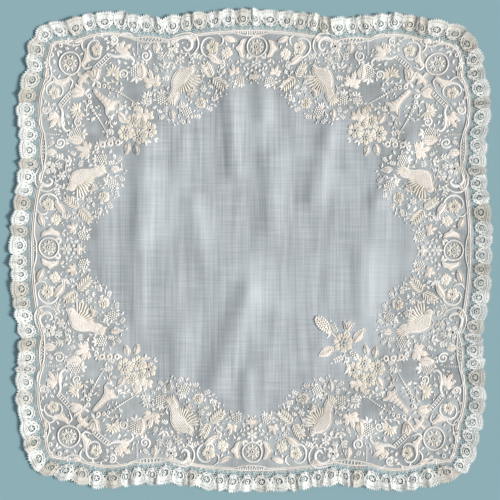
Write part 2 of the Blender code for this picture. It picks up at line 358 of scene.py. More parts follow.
def pad(outline, lift=1.0, threads=0.0):
    """A padded shape: a flat-topped pillow over an outline, its stitches turned by threads."""
    loop = spaced(outline, PAD_STEP, closed=True)
    places = lattice(loop.min(axis=0), loop.max(axis=0), PAD_STEP)
    places = places[inside(places, loop)]
    places = places[away_from(places, loop) > PAD_STEP * 0.4]
    flat, faces = filled([loop], places)
    rounding = np.clip(away_from(flat, loop) / PAD_ROUND, 0.0, 1.0)
    points = np.column_stack([flat, lift * np.sqrt(1 - (1 - rounding) ** 2)])
    return points, faces, turned(points, 0.0, 0.0, threads)[:, :2]


# %% [markdown]
# ## The motifs
# Now the ornaments that the border repeats: medallions, scrolls, stars, sprays, buds, birds
# and posies. They are the common stock of whitework, and each is a function with the same
# values: where it stands, how large it is, and how far it is turned. It returns its stitches,
# each with the kind of thread that it is worked in.

# %% Rings and petals
EYELET = 0.95


def satin(*where, **how):
    """A petal or leaf in fine white thread."""
    return "satin", petal(*where, **how)


def cream(*where, **how):
    """A petal or leaf in thick cream thread."""
    return "cream", petal(*where, **how)


def bead(*where, **how):
    """A knotted seed."""
    return "knots", knot(*where, **how)


def corded(*path, **how):
    """A fine cord."""
    return "cord", cord(*path, **how)


def beside(x, y, turn, forward, sideways=0.0):
    """The place that lies so far forward and to the left of x, y, for something turned by turn."""
    c, s = math.cos(math.radians(turn)), math.sin(math.radians(turn))
    return x + forward * c - sideways * s, y + forward * s + sideways * c


def ray(x, y, turn, size, shares):
    """A straight path from x, y through these shares of size."""
    return np.array([beside(x, y, turn, size * share) for share in shares])


def spread(thread, root, turn, leans, *size, **how):
    """Petals from one root, one for each lean away from turn."""
    return [thread(*root, turn + lean, *size, **how) for lean in leans]


def whorl(x, y, reach, degrees):
    """A path round x, y from its reach and its turn, point by point."""
    turns = np.radians(degrees)
    return np.column_stack([x + reach * np.cos(turns), y + reach * np.sin(turns)])


def arc(x, y, radius, start, end, step=1.1, closed=False):
    """A path along a circle from start to end, in degrees."""
    count = max(7, int(abs(math.radians(end - start)) * radius / step) + 1)
    return whorl(x, y, radius, np.linspace(start, end, count, endpoint=not closed))


def ring(x, y, radius, width=1.0, lift=0.8):
    """A round of cord."""
    return corded(arc(x, y, radius, 0, 360, 0.9, closed=True), width, lift, closed=True)


def hole(x, y, radius):
    """A round hole: it has no thread, only the outline that the linen is cut along."""
    outline = arc(x, y, radius, 0, 360, 0.7, closed=True)
    points = np.column_stack([outline, np.zeros(len(outline))])
    return "hole", (points, np.zeros((0, 3), int), outline)


def stroked(x, y, turn, length, width, lift=0.8, kind="satin"):
    """A broad petal as three stitched strokes side by side, the middle one longest."""
    made = []
    lean = math.degrees(0.3 * width / length)
    for side, share in ((-1, 0.86), (1, 0.86), (0, 1.0)):
        root = beside(x, y, turn, 0.0, side * width * 0.1)
        size = (length * share, width * 0.46)
        made.append((kind, petal(*root, turn + side * lean, *size, lift, 0.64, 6, 4, 0.6)))
    return made


def around(x, y, count, radius, turn, length, width, lift=0.8, kind="satin"):
    """Petals that spring from a circle round x, y, broadest near their blunt tips."""
    made = []
    for k in range(count):
        angle = turn + 360.0 * k / count
        made += stroked(*beside(x, y, angle, radius), angle, length, width, lift, kind)
    return made


def medallion(x, y, size, turn):
    """A ring with a rosette of long and short petals in it, and seeds between them."""
    made = [ring(x, y, size, 1.5, 1.0), ring(x, y, size * 0.15, 0.9, 1.0)]
    for k in range(8):
        angle, between = turn + 45 * k, turn + 45 * k + 22.5
        made += [
            cream(*beside(x, y, angle, size * 0.2), angle, size * 0.56, size * 0.25, 0.9, 0.66),
            satin(*beside(x, y, between, size * 0.26), between, size * 0.3, size * 0.13, 0.7),
            bead(*beside(x, y, between, size * 0.7), 0.6, 0.6),
        ]
    return made


def eyelet_star(x, y, size, turn):
    """A hole bound with cord, with broad petals round it."""
    petals = around(x, y, 5, 1.7, turn, size * 0.8, size * 0.86)
    return [hole(x, y, EYELET), ring(x, y, 1.5, 1.0, 0.9)] + petals


def star(x, y, size, turn):
    """Six petals round a seed."""
    return around(x, y, 6, size * 0.08, turn, size * 0.95, size * 0.5) + [bead(x, y, size * 0.22, 1.0)]


def quatrefoil(x, y, size, turn):
    """Four broad petals round a seed."""
    return around(x, y, 4, size * 0.06, turn, size, size, kind="cream") + [bead(x, y, size * 0.2, 1.1)]


def trefoil(x, y, size, turn):
    """Three petals and a seed, like a small orchid."""
    petals = spread(satin, (x, y), turn, (-62, 0, 62), size, size * 0.5, 0.85, 0.62)
    return petals + [bead(x, y, size * 0.2)]


def seeded_bud(x, y, size, turn):
    """A long bud: an oval of close knots, larger round its rim, with two leaves at its foot."""
    pitch, rim = 2.2, 1.6
    turns = np.radians(np.arange(0, 360, 12))
    oval = np.column_stack([size * np.cos(turns), size / 2 * np.sin(turns)])
    outline = turned(oval, x, y, turn)
    made = [("padded", pad(outline, 0.7))]
    made += [bead(*place, 1.25, 1.4) for place in spaced(outline, pitch, closed=True)]
    for place in lattice((-size, -size / 2), (size, size / 2), pitch):
        if (place[0] / (size - rim)) ** 2 + (place[1] / (size / 2 - rim)) ** 2 < 1.0:
            made.append(bead(*beside(x, y, turn, *place), 1.0, 1.7))
    foot = beside(x, y, turn, -size)
    return made + spread(cream, foot, turn + 180, (-48, 48), size * 0.5, size * 0.22)


def blossom(x, y, size, turn):
    """A large flower in cream thread: a round of broad petals, then short ones, then a ring."""
    made = around(x, y, 7, size * 0.34, turn, size * 0.68, size * 0.6, 0.7, "cream")
    for k in range(7):
        angle = turn + 360 / 7 * (k + 0.5)
        root = beside(x, y, angle, size * 0.22)
        made.append(cream(*root, angle, size * 0.4, size * 0.16, 1.1, columns=4))
    return made + [ring(x, y, size * 0.2, 0.7, 1.0)]


def eyelet_blossom(x, y, size, turn):
    """A large flower with pointed petals round a real hole."""
    made = around(x, y, 6, 1.6, turn, size * 0.8, size * 0.62, 1.0, "cream")
    return made + [hole(x, y, EYELET), ring(x, y, 1.4, 0.8, 1.0)]


def bead_ring(x, y, size, turn):
    """A small thick ring."""
    return [ring(x, y, size * 0.62, size * 0.72, 1.0)]


# %% Scrolls
def curl(x, y, size, turn):
    """A spiral of cord that ends in a seed."""
    share = np.linspace(0.0, 1.0, 30)
    path = whorl(x, y, size * (1 - 0.78 * share), turn + 520 * share)
    return [("satin", cord(path, 2.0 - 0.8 * share, 0.9)), bead(x, y, 0.9)]


def scroll(x, y, size, turn):
    """An open C of fine cord that curls in at both ends, beside a five-petalled flower."""
    share = np.linspace(0.0, 1.0, 36)
    to_end = np.abs(2 * share - 1)
    path = whorl(x, y, size * (1 - 0.42 * to_end**3), turn + 70 + 250 * share)
    made = [("satin", cord(path, 2.2 - 1.2 * to_end, 1.0))]
    made += around(x, y, 5, size * 0.12, turn, size * 0.56, size * 0.56, 1.0, "cream")
    return made + [ring(x, y, size * 0.14, 0.8, 1.1)]


# %% Leaves, sprays and fruit
SPRIG_BEND = 18.0


def leaf(x, y, size, turn):
    """One leaf, from its root."""
    return [satin(x, y, turn, size, size * 0.46)]


def pair(x, y, size, turn):
    """Two leaves from one root."""
    return spread(satin, (x, y), turn, (-30, 30), size, size * 0.46)


def seed(x, y, size, turn):
    """One knot."""
    return [bead(x, y, size, 0.9)]


def row_of_seeds(x, y, size, turn):
    """Seeds in a straight row."""
    return [bead(*beside(x, y, turn, at), 0.72, 0.8) for at in np.arange(0.0, size, 1.9)]


def sprig(x, y, size, turn):
    """A bent stem with leaves on both sides, which grow smaller to the tip."""
    count = max(3, int(size / 2.6))
    share = np.linspace(0.0, 1.0, 10)
    lean = np.radians(turn + SPRIG_BEND * share)
    steps = np.column_stack([np.cos(lean), np.sin(lean)])
    path = (x, y) + np.cumsum(steps, axis=0) * (size / 9)
    made = [corded(path, 0.65, 0.6, columns=3)]
    for k in range(count):
        at = 0.1 + 0.8 * k / count
        root = [np.interp(at, share, path[:, i]) for i in (0, 1)]
        long = min(3.9, 0.46 * size) * (1 - 0.3 * at)
        ahead = turn + SPRIG_BEND * at
        made += spread(satin, root, ahead, (-46, 46), long, long * 0.46, 0.7, columns=4)
    tip = min(3.0, 0.36 * size)
    return made + [satin(*path[-1], turn + SPRIG_BEND, tip, 1.4, 0.7, columns=4)]


def wheat(x, y, size, turn):
    """An ear of long grains in pairs, like chevrons, in thick cream thread."""
    made = [corded(ray(x, y, turn, size, np.arange(7) / 6), 0.7, 0.6, columns=3)]
    for k in range(6):
        root = beside(x, y, turn, size * (0.04 + 0.15 * k))
        long = size * (0.44 - 0.16 * abs(k / 5 - 0.4))
        made += spread(cream, root, turn, (-50, 50), long, 1.75, 1.0)
    return made + [cream(*beside(x, y, turn, size * 0.9), turn, size * 0.22, 1.6, 1.0)]


def fan(x, y, size, turn):
    """A shell of thick petals that spread from one root."""
    made = [bead(x, y, size * 0.16, 1.0)]
    for k in range(11):
        long = size * (1.0 - 0.2 * abs(k - 5) / 5) * (0.86 if k % 2 else 1.0)
        made.append(cream(x, y, turn - 115 + 23 * k, long, size * 0.24, 0.9, 0.68))
    return made


def berry(x, y, size, turn):
    """A fruit of close knots with three leaves at its foot."""
    made = []
    for px, py in lattice((-size, -size), (size, size), 2.0):
        if (px / size) ** 2 + (py / (size * 0.85)) ** 2 < 0.85:
            high = 1.15 - 0.02 * (px**2 + py**2)
            made.append(bead(*beside(x, y, turn, px, py), 0.88, high, sides=7))
    foot = beside(x, y, turn, -size * 0.8)
    return made + spread(satin, foot, turn + 180, (-58, 0, 58), size * 0.85, size * 0.42, 0.8)


# %% Padded motifs
def symmetric(*half):
    """A closed outline from the points of its left half."""
    return (*half, *((along_it, -across) for along_it, across in reversed(half) if across))


TULIP = symmetric((0, 0.08), (0.18, 0.32), (0.55, 0.46), (0.98, 0.58), (0.84, 0.26), (1.1, 0.0))
HEART = symmetric((0.0, 0.0), (0.1, 0.3), (0.4, 0.3), (0.66, 0.0))
BRACKET = ((-0.25, 1.0), (0.3, 0.86), (0.52, 0.36), (0.86, 0.0), (0.52, -0.36), (0.3, -0.86),
           (-0.25, -1.0), (-0.06, -0.6), (0.04, 0.0), (-0.06, 0.6))
LONG_LEAF = symmetric((0, 0), (0.24, 0.17), (0.6, 0.21), (1.0, 0.05))
BROAD_LEAF = symmetric((0, 0), (0.2, 0.2), (0.5, 0.29), (0.84, 0.15), (1.06, 0))
FLEUR = symmetric((0, 0.12), (0.3, 0.1), (0.36, 0.42), (0.72, 0.46), (0.66, 0.16), (1.05, 0.0))
SIDE_VEINS = (
    # place along the leaf, length
    (0.14, 0.18), (0.27, 0.24), (0.4, 0.26), (0.53, 0.24), (0.66, 0.2),
)
LOBES = (
    # lean, length
    (-78, 0.6), (-42, 0.84), (42, 0.84), (78, 0.6), (0, 1.1),
)


def outline_of(shape, x, y, size, turn):
    """The outline of a shape given as points in units of its own size."""
    return turned(curve(np.array(shape, float) * size, PAD_STEP, closed=True), x, y, turn)


def shaped(x, y, size, turn, shape, lift=0.9, threads=0.0):
    """A padded shape with a fine cord round it."""
    outline = outline_of(shape, x, y, size, turn)
    body = ("padded", pad(outline, lift, threads - turn))
    return [body, corded(outline, 0.75, lift, closed=True, columns=3)]


def feathered(outline, turn, length, lift):
    """Small stitched feathers in staggered rows over the inside of an outline."""
    made = []
    for place in lattice(outline.min(axis=0), outline.max(axis=0), length * 0.62):
        if inside(place[None], outline)[0] and away_from(place[None], outline)[0] > length * 0.42:
            root = beside(*place, turn, -length / 2)
            made.append(satin(*root, turn, length, length * 0.5, lift, 0.62, rows=5, columns=4))
    return made


def tulip(x, y, size, turn):
    """A padded bell with three points and ribs, on a short stem, with two narrow leaves."""
    made = shaped(x, y, size, turn, TULIP)
    for lean in (-22, 0, 22):
        rib = ray(x, y, turn + lean, size, (0.16, 0.34, 0.52, 0.7, 0.86))
        made.append(corded(rib, 0.7, 1.45, columns=3))
    return made + spread(satin, (x, y), turn + 180, (42, -42), size * 0.6, size * 0.26)


def lobed_leaf(x, y, size, turn):
    """A broad leaf of five lobes, each of three strokes, over a padded heart."""
    made = [("padded", pad(outline_of(HEART, x, y, size, turn), 0.6))]
    for lean, long in LOBES:
        root = beside(x, y, turn + lean, size * 0.04)
        made += stroked(*root, turn + lean, size * long, size * 0.34, 0.9, "padded")
    return made


def long_leaf(x, y, size, turn):
    """A long padded leaf."""
    vein = ray(x, y, turn, size, (0.08, 0.3, 0.52, 0.74, 0.9))
    return shaped(x, y, size, turn, LONG_LEAF, 1.0, 70.0) + [corded(vein, 0.6, 1.35, columns=3)]


def broad_leaf(x, y, size, turn):
    """A broad padded leaf with a vein and side veins."""
    made = shaped(x, y, size, turn, BROAD_LEAF, 0.7, 60.0)
    made.append(corded(ray(x, y, turn, size, (0.06, 0.28, 0.5, 0.72, 0.9)), 0.6, 1.2, columns=3))
    for at, long in SIDE_VEINS:
        root = beside(x, y, turn, size * at)
        made += spread(satin, root, turn, (-44, 44), size * long, size * 0.08, 1.2, rows=4, columns=3)
    return made


def bracket(x, y, size, turn):
    """A padded crescent that comes to a point in the middle."""
    return shaped(x, y, size, turn, BRACKET)


def fleur(x, y, size, turn):
    """A padded leaf whose sides curl out."""
    return shaped(x, y, size, turn, FLEUR)


def rungs(x, y, size, turn):
    """A short ladder: two cords with bars of satin stitch between them."""
    made = []
    for k in range(7):
        root = beside(x, y, turn, size * (k / 6 - 0.5), -1.8)
        made.append(satin(*root, turn + 90, 3.6, 1.5, 0.8))
    for side in (-2.1, 2.1):
        ends = [beside(x, y, turn, size * end, side) for end in (-0.6, 0.6)]
        made.append(corded(spaced(ends, 1.2), 0.9, 0.8))
    return made


# %% [markdown]
# The larger pieces of the border are put together from the small ones: a bird with feathers
# of satin stitch, a horn that spills a posy in each corner, and strings of beads that run
# down in size. Writing a posy as a short table keeps it easy to move a flower.

# %% Birds, horns and beads
BIRD = ((1.0, 0.16), (0.88, 0.36), (0.68, 0.4), (0.5, 0.32), (0.15, 0.32), (-0.3, 0.2), (-0.72, 0.34),
        (-1.06, 0.3), (-0.9, 0.06), (-1.04, -0.14), (-0.55, -0.18), (-0.1, -0.4), (0.34, -0.44),
        (0.66, -0.2), (0.82, 0.02))
PLUMES = (
    # count, place along, step along, height, turn, turn step, length, swell, swell step, lift
    (5, 0.42, -0.07, 0.2, 62, 9, 0.74, 0.1, 0.9, 0.9),
    (9, 0.4, -0.07, 0.06, 96, 9, 0.6, 0.14, 0.5, 1.2),
    (5, -0.72, 0.0, 0.08, 152, 13, 0.62, 0.0, 0.0, 1.0),
)
HORN = symmetric(
    (0.0, 0.06), (0.3, 0.1), (0.6, 0.13), (0.8, 0.2), (0.98, 0.36), (0.97, 0.12), (1.08, 0.0)
)
BINDINGS = (
    # place along the horn, half its width there
    (0.18, 0.09), (0.33, 0.11), (0.48, 0.12), (0.63, 0.15), (0.78, 0.2),
)
SAG = ((0.0, 0.0), (0.17, -0.063), (0.35, -0.068), (0.65, -0.036), (1.0, 0.0))
CROWN = ((-1, 0.0), (0, 0.04), (1, 0.0))


def songbird(x, y, size, turn):
    """A small bird with both wings raised: a padded body under feathers of satin stitch."""
    made = shaped(x, y, size, turn, BIRD, 0.8, 20.0)
    made += feathered(outline_of(BIRD, x, y, size, turn), turn + 172, size * 0.14, 1.3)
    for count, at, step, high, lean, fanned, long, swell, beat, lift in PLUMES:
        for k in range(count):
            root = beside(x, y, turn, size * (at + step * k), size * high)
            length = size * (long + swell * math.sin(k * beat))
            angle = turn + lean + fanned * k
            made.append(cream(*root, angle, length, size * 0.12, lift, 0.66, columns=4))
    return made + [bead(*beside(x, y, turn, size * 0.74, size * 0.22), 0.5, 2.2, sides=6)]


def bead_string(x, y, size, turn):
    """A string of beads along a slight bend: rings that grow smaller, and then seeds."""
    path = curve(turned(np.array(SAG) * size, x, y, turn), 0.2)
    length = np.concatenate([[0.0], np.cumsum(np.linalg.norm(np.diff(path, axis=0), axis=1))])
    made, at = [], 0.0
    while at < length[-1]:
        radius = 2.3 - 1.75 * min(1.0, 1.25 * at / length[-1])
        place = [np.interp(at, length, path[:, i]) for i in (0, 1)]
        if radius > 1.3:
            made += bead_ring(*place, radius, 0.0)
        else:
            made.append(bead(*place, radius, 0.6 + 0.4 * radius))
        at += radius * 2.05
    return made


def horn(x, y, size, turn):
    """A padded horn bound with cords, with a seeded rim."""
    made = shaped(x, y, size, turn, HORN, 0.8, 90.0)
    for at, half in BINDINGS:
        bound = [beside(x, y, turn, size * (at + rise), size * half * side) for side, rise in CROWN]
        made.append(corded(curve(bound), 0.8, 1.15, columns=3))
    for k in range(-2, 3):
        made.append(bead(*beside(x, y, turn, size * 1.18, size * k * 0.15), 0.95, 0.9))
    return made


# %% [markdown]
# ## Lay out the border
# All that the border holds is in short tables: what stands at the middle of a side, what
# stands by the diagonal of a corner, and what is repeated eight times. Places are in
# millimetres on an even square, across from the middle of a side and out from the centre of
# the cloth. Turns are in degrees, and 90 points out to the edge.

# %% Lay out the border
MIDDLES = (
    # motif, across, out, size, turn
    (medallion, 0.0, 176.6, 8.6, 90.0),
    (bracket, 11.6, 175.0, 7.6, 0.0),
    (bracket, -11.6, 175.0, 7.6, 180.0),
    (star, 0.0, 161.6, 5.4, 90.0),
    (leaf, 0.0, 168.0, 3.6, 270.0),
    (seed, 3.4, 155.6, 1.4, 0.0),
    (seed, -3.4, 155.6, 1.4, 0.0),
    (fleur, 0.0, 155.0, 9.6, 270.0),
)
CORNERS = (
    # motif, across, out, size, turn
    (medallion, 160.6, 162.0, 9.6, 22.5),
    (horn, 137.6, 139.0, 23.0, 225.0),
    (pair, 172.6, 172.9, 5.6, 225.0),
    (fleur, 152.6, 153.8, 13.0, 225.0),
    (leaf, 146.6, 153.4, 7.0, 205.0),
    (leaf, 152.6, 147.4, 7.0, 245.0),
)
POSY = (
    # motif, across, out, size, turn
    (blossom, 110.4, 101.6, 7.8, 10.0),
    (blossom, 104.0, 112.2, 7.0, 40.0),
    (blossom, 98.6, 98.4, 7.2, 20.0),
    (blossom, 96.4, 110.0, 5.2, 5.0),
    (eyelet_blossom, 89.6, 104.4, 7.4, 200.0),
    (lobed_leaf, 97.6, 114.4, 9.0, 98.0),
    (lobed_leaf, 90.6, 113.4, 9.6, 76.0),
    (broad_leaf, 110.6, 110.4, 10.4, 58.0),
    (fan, 100.6, 121.6, 5.4, 112.0),
    (sprig, 95.0, 124.4, 9.0, 98.0),
    (sprig, 89.6, 124.6, 8.0, 82.0),
    (bead_ring, 131.0, 92.2, 3.1, 0.0),
    (bead_ring, 124.4, 92.6, 3.1, 0.0),
    (bead_ring, 117.8, 93.0, 3.1, 0.0),
    (broad_leaf, 107.4, 92.6, 9.4, 285.0),
    (broad_leaf, 101.4, 91.0, 8.6, 256.0),
    (pair, 93.4, 95.4, 5.4, 230.0),
    (sprig, 119.4, 103.4, 9.0, 350.0),
    (sprig, 118.6, 98.4, 8.0, 330.0),
    (leaf, 112.6, 94.6, 5.4, 320.0),
    (pair, 86.0, 96.6, 4.4, 200.0),
)
EIGHTHS = (
    # motif, across, out, size, turn
    (eyelet_star, 71.0, 177.0, 5.6, 90.0),
    (scroll, 38.0, 177.0, 9.6, 150.0),
    (long_leaf, 28.6, 185.0, 11.0, 200.0),
    (long_leaf, 51.0, 185.6, 8.0, 330.0),
    (broad_leaf, 84.6, 171.0, 10.4, 90.0),
    (pair, 84.6, 172.6, 6.4, 90.0),
    (row_of_seeds, 100.8, 170.0, 12.0, 91.0),
    (curl, 93.4, 168.4, 4.8, 120.0),
    (scroll, 136.6, 174.0, 8.8, 160.0),
    (curl, 121.6, 181.4, 3.6, 40.0),
    (leaf, 126.6, 184.0, 4.4, 330.0),
    (lobed_leaf, 116.6, 170.6, 12.0, 146.0),
    (long_leaf, 148.0, 182.4, 9.0, 350.0),
    (trefoil, 162.0, 180.0, 4.6, 84.0),
    (bead_ring, 169.2, 177.4, 2.2, 0.0),
    (bracket, 148.0, 167.0, 7.6, 196.0),
    (rungs, 131.6, 163.4, 15.0, 139.0),
    (tulip, 137.0, 146.8, 10.6, 80.0),
    (fan, 121.6, 152.0, 9.6, 110.0),
    (curl, 111.6, 152.6, 4.2, 300.0),
    (berry, 102.0, 154.8, 7.0, 84.0),
    (broad_leaf, 95.6, 147.6, 14.0, 86.0),
    (lobed_leaf, 86.6, 142.6, 13.0, 76.0),
    (bead_string, 134.0, 142.8, 37.0, 206.0),
    (songbird, 63.4, 147.0, 17.0, 118.0),
    (berry, 79.2, 131.4, 5.6, 266.0),
    (broad_leaf, 71.0, 122.6, 8.6, 262.0),
    (berry, 57.6, 121.0, 5.4, 250.0),
    (blossom, 46.0, 128.6, 5.4, 0.0),
    (tulip, 52.0, 139.4, 6.0, 320.0),
    (star, 73.0, 168.6, 3.6, 0.0),
    (star, 64.4, 166.0, 4.6, 30.0),
    (trefoil, 78.0, 158.0, 5.4, 100.0),
    (quatrefoil, 25.4, 171.0, 5.4, 10.0),
    (long_leaf, 41.6, 170.4, 13.6, 215.0),
    (sprig, 55.0, 170.4, 9.0, 190.0),
    (wheat, 36.6, 150.6, 14.4, 58.0),
    (wheat, 35.6, 150.4, 15.0, 222.0),
    (lobed_leaf, 17.6, 153.0, 8.6, 76.0),
    (berry, 12.0, 147.6, 4.6, 80.0),
    (sprig, 27.0, 157.6, 8.0, 70.0),
    (star, 43.6, 141.0, 3.6, 0.0),
    (sprig, 80.6, 163.0, 9.0, 80.0),
    (pair, 8.6, 166.2, 5.6, 130.0),
    (trefoil, 91.4, 134.0, 4.6, 100.0),
    (sprig, 37.6, 130.0, 8.0, 150.0),
    (sprig, 108.0, 163.4, 9.0, 60.0),
    (leaf, 123.0, 112.4, 6.0, 100.0),
)
RIBBONS = (
    # width, places
    (2.7, ((68.6, 181.0), (65.0, 184.0), (60.4, 185.0), (56.0, 181.8), (55.6, 176.4), (59.0, 173.6),
           (61.8, 176.4))),
    (2.7, ((126.6, 170.4), (120.4, 167.4), (113.4, 167.8), (107.6, 167.0), (104.0, 163.6),
           (105.6, 160.8))),
    (1.5, ((71.0, 185.2), (64.0, 188.4), (56.6, 188.6), (51.6, 184.6), (50.0, 178.0), (52.6, 172.0),
           (57.0, 168.0))),
    (1.4, ((33.6, 188.0), (29.4, 184.4), (29.6, 180.0), (32.0, 178.0))),
    (1.4, ((149.0, 184.0), (150.4, 176.6), (146.4, 170.4))),
    (1.5, ((104.0, 184.0), (108.0, 187.0), (114.0, 187.4), (118.6, 184.6))),
    (1.6, ((140.4, 160.0), (146.4, 158.0), (149.6, 161.6), (147.6, 164.6))),
)
STEMS = (
    # width, leaves, places
    (0.8, 5, ((91, 164.6), (97, 161.6), (104, 160.6))),
    (0.6, 4, ((16, 149), (18, 145), (16, 141))),
    (0.6, 4, ((28, 139), (32, 134), (35, 129))),
    (0.6, 4, ((40, 133), (43, 128), (47, 123))),
    (0.8, 4, ((60, 158.4), (66, 161.6), (73, 162.6), (80, 160))),
    (0.7, 4, ((116, 146), (124, 145.6), (131, 147))),
    (0.9, 0, ((76, 172), (79, 166.6), (77, 161), (80, 157.6))),
    (0.8, 3, ((122, 177), (127, 181.6), (134, 185), (142, 184.6))),
    (0.7, 3, ((72, 133), (74, 139.6), (78, 145))),
    (0.7, 4, ((43, 145), (45, 152), (42, 160))),
    (0.6, 4, ((70, 122), (70, 116), (74, 112))),
    (0.6, 4, ((62, 131), (64, 125), (63, 117))),
    (0.6, 5, ((83, 129), (87, 136), (85, 144))),
    (0.6, 3, ((52, 119), (56, 115), (57, 111))),
    (0.6, 4, ((97, 134), (92, 130), (90, 125))),
    (0.6, 6, ((20, 141), (27, 145.6), (31, 152), (30, 160))),
    (0.6, 5, ((128, 118), (124, 112), (125, 105), (129, 99))),
    (0.7, 5, ((56, 172), (62, 171), (69, 173.4), (76, 171.6))),
    (0.6, 5, ((50, 160), (55, 165), (55, 171))),
    (0.6, 4, ((107, 172), (112, 177.6), (119, 178.6), (124, 175.6))),
)


def ribbon(width, places):
    """A thick ribbon of close stitches that narrows to both ends."""
    path = curve(places, 1.0)
    swell = 0.5 + 0.65 * np.sin(np.pi * np.linspace(0.0, 1.0, len(path)))
    return [("satin", cord(path, width * swell, 1.0, columns=5))]


def stem(width, leaves, places):
    """A flowing stem of fine cord with single leaves on alternate sides."""
    path = curve(places, 1.3)
    made = [corded(path, width, 0.8, columns=3)]
    for k in range(leaves):
        at = int((k + 0.7) / leaves * (len(path) - 2))
        ahead = path[at + 1] - path[at]
        lean = math.degrees(math.atan2(ahead[1], ahead[0])) + (44 if k % 2 else -44)
        made.append(satin(*path[at], lean, 3.8, 1.8, 0.8, columns=4))
    return made


def family(table):
    """All stitches of one table, at their own places."""
    return [stitch for motif, *where in table for stitch in motif(*where)]


def drawn(draw, table):
    """All stitches of a table whose rows are drawn by one function."""
    return [stitch for row in table for stitch in draw(*row)]


def copies(stitches, matrices):
    """The same stitches turned or mirrored about the centre of the cloth."""
    made = []
    for matrix in matrices:
        matrix = np.array(matrix, float)
        mirrored = np.linalg.det(matrix) < 0
        for kind, (points, faces, threads) in stitches:
            moved = points.copy()
            moved[:, :2] = points[:, :2] @ matrix.T
            made.append((kind, (moved, faces[:, ::-1] if mirrored else faces, threads)))
    return made


MIRRORS = [((a, 0), (0, b)) for a in (1, -1) for b in (1, -1)]
QUARTERS = (((1, 0), (0, 1)), ((0, -1), (1, 0)), ((-1, 0), (0, -1)), ((0, 1), (-1, 0)))
EIGHT = MIRRORS + [((0, a), (b, 0)) for a in (1, -1) for b in (1, -1)]

octant = family(EIGHTHS) + drawn(stem, STEMS) + drawn(ribbon, RIBBONS)
corner = family(CORNERS + POSY)
middle = family(MIDDLES)
print("stitches of the eighth, corner and middle:", len(octant), len(corner), len(middle))

# %% [markdown]
# ## Small leaves in the gaps
# Between the large ornaments the real border is strewn with sprigs, tufts, leaves and seeds,
# placed by eye so that no gap is left empty. A program can do the same: try many places in turn,
# and keep one only if nothing stands near it yet. The large ones go first, so each gap gets the
# largest thing that fits. The places come from a seeded random generator, so the cloth is the
# same each time.

# %% Small leaves in the gaps
STREW_SEED = 7
STREWN = (
    # motif, tries, clear, smallest, largest
    ("sprig", 2000, 3.7, 6.0, 7.5),
    ("tuft", 2000, 2.6, 3.0, 4.0),
    ("leaf", 2000, 1.9, 2.6, 4.2),
    ("seed", 900, 1.5, 0.6, 0.85),
)
INNER_EDGE = (
    (0, 142), (18, 141), (30, 128), (40, 120), (50, 114),
    (68, 109), (77, 114), (85, 108), (88, 98), (98, 84),
)
OPEN_GROUND = ((104, 139, 10.0), (120, 126, 7.0), (44, 165, 3.0), (18, 168, 4.0))
EDGE_ROOM = 180.4


def stitch_places(stitches):
    """Where the points of some stitches lie, thinned out."""
    return np.vstack([points[::2, :2] for _, (points, _, _) in stitches])


def small_motif(motif, x, y, size, flow):
    """One of the small things that fill a gap, centred on x, y."""
    root = beside(x, y, flow, -size / 2)
    if motif == "sprig":
        return sprig(*root, size, flow)
    if motif == "tuft":
        return spread(satin, root, flow, (-38, 0, 38), size, size * 0.4, 0.8, 0.6, columns=4)
    if motif == "leaf":
        return [satin(*root, flow, size, size * 0.42, 0.8, columns=4)]
    return [bead(x, y, size, 0.8)]


def strewn():
    """Sprigs, tufts, leaves and seeds in what is still free of the eighth."""
    taken = np.vstack([stitch_places(octant), stitch_places(corner), stitch_places(middle)])
    taken = np.vstack([taken, taken[:, ::-1], taken * (-1, 1)])
    taken = taken[(taken[:, 0] > -6) & (taken[:, 0] < 186) & (taken[:, 1] > 76)]
    border = np.array(list(INNER_EDGE) + [(EDGE_ROOM, EDGE_ROOM), (0, EDGE_ROOM)], float)
    rng = np.random.default_rng(STREW_SEED)
    made = []
    for motif, count, clear, smallest, largest in STREWN:
        tries = rng.uniform((0, 80), (EDGE_ROOM, EDGE_ROOM), (count, 2))
        keep = inside(tries, border)
        for x, y, reach in OPEN_GROUND:
            keep &= np.hypot(tries[:, 0] - x, tries[:, 1] - y) > reach
        for x, y in tries[keep]:
            if np.hypot(taken[:, 0] - x, taken[:, 1] - y).min() < clear:
                continue
            flow = 60 * math.sin(x / 11) + 70 * math.cos(y / 9) + rng.uniform(-25, 25)
            added = small_motif(motif, x, y, rng.uniform(smallest, largest), flow)
            made += added
            taken = np.vstack([taken, stitch_places(added)])
    return made


small = strewn()
print("small leaves and seeds in one eighth:", len(small))

# %% [markdown]
# ## The spray in the lower right
# One corner of the plain middle carries a small spray of its own: a round bloom on a stem, with
# a bud on a bent stalk, a tulip and two broad leaves. It is drawn once, straight onto the cloth.

# %% The spray in the lower right
SPRAY = (
    # motif, x, y, size, turn
    (blossom, 80.0, -80.0, 9.4, 15.0),
    (seeded_bud, 62.0, -64.0, 8.0, 132.0),
    (broad_leaf, 71.6, -84.6, 14.0, 210.0),
    (broad_leaf, 89.6, -79.6, 14.0, 52.0),
    (tulip, 83.6, -69.8, 8.0, 78.0),
    (sprig, 74.6, -73.4, 11.0, 104.0),
    (pair, 69.2, -72.0, 5.4, 200.0),
    (sprig, 82.0, -92.0, 11.0, 196.0),
    (berry, 89.4, -90.4, 3.4, 320.0),
    (pair, 84.6, -103.0, 5.6, 262.0),
)
SPRAY_STEMS = (
    # width, leaves, places
    (1.3, 0, ((67.6, -70.2), (70.6, -72.4), (74.2, -76.0))),
    (1.3, 5, ((81.0, -88.6), (82.4, -96.0), (85.0, -104.0))),
    (1.0, 0, ((82.4, -93.6), (86.4, -92.6), (89.0, -90.8))),
)
spray = family(SPRAY) + drawn(stem, SPRAY_STEMS)

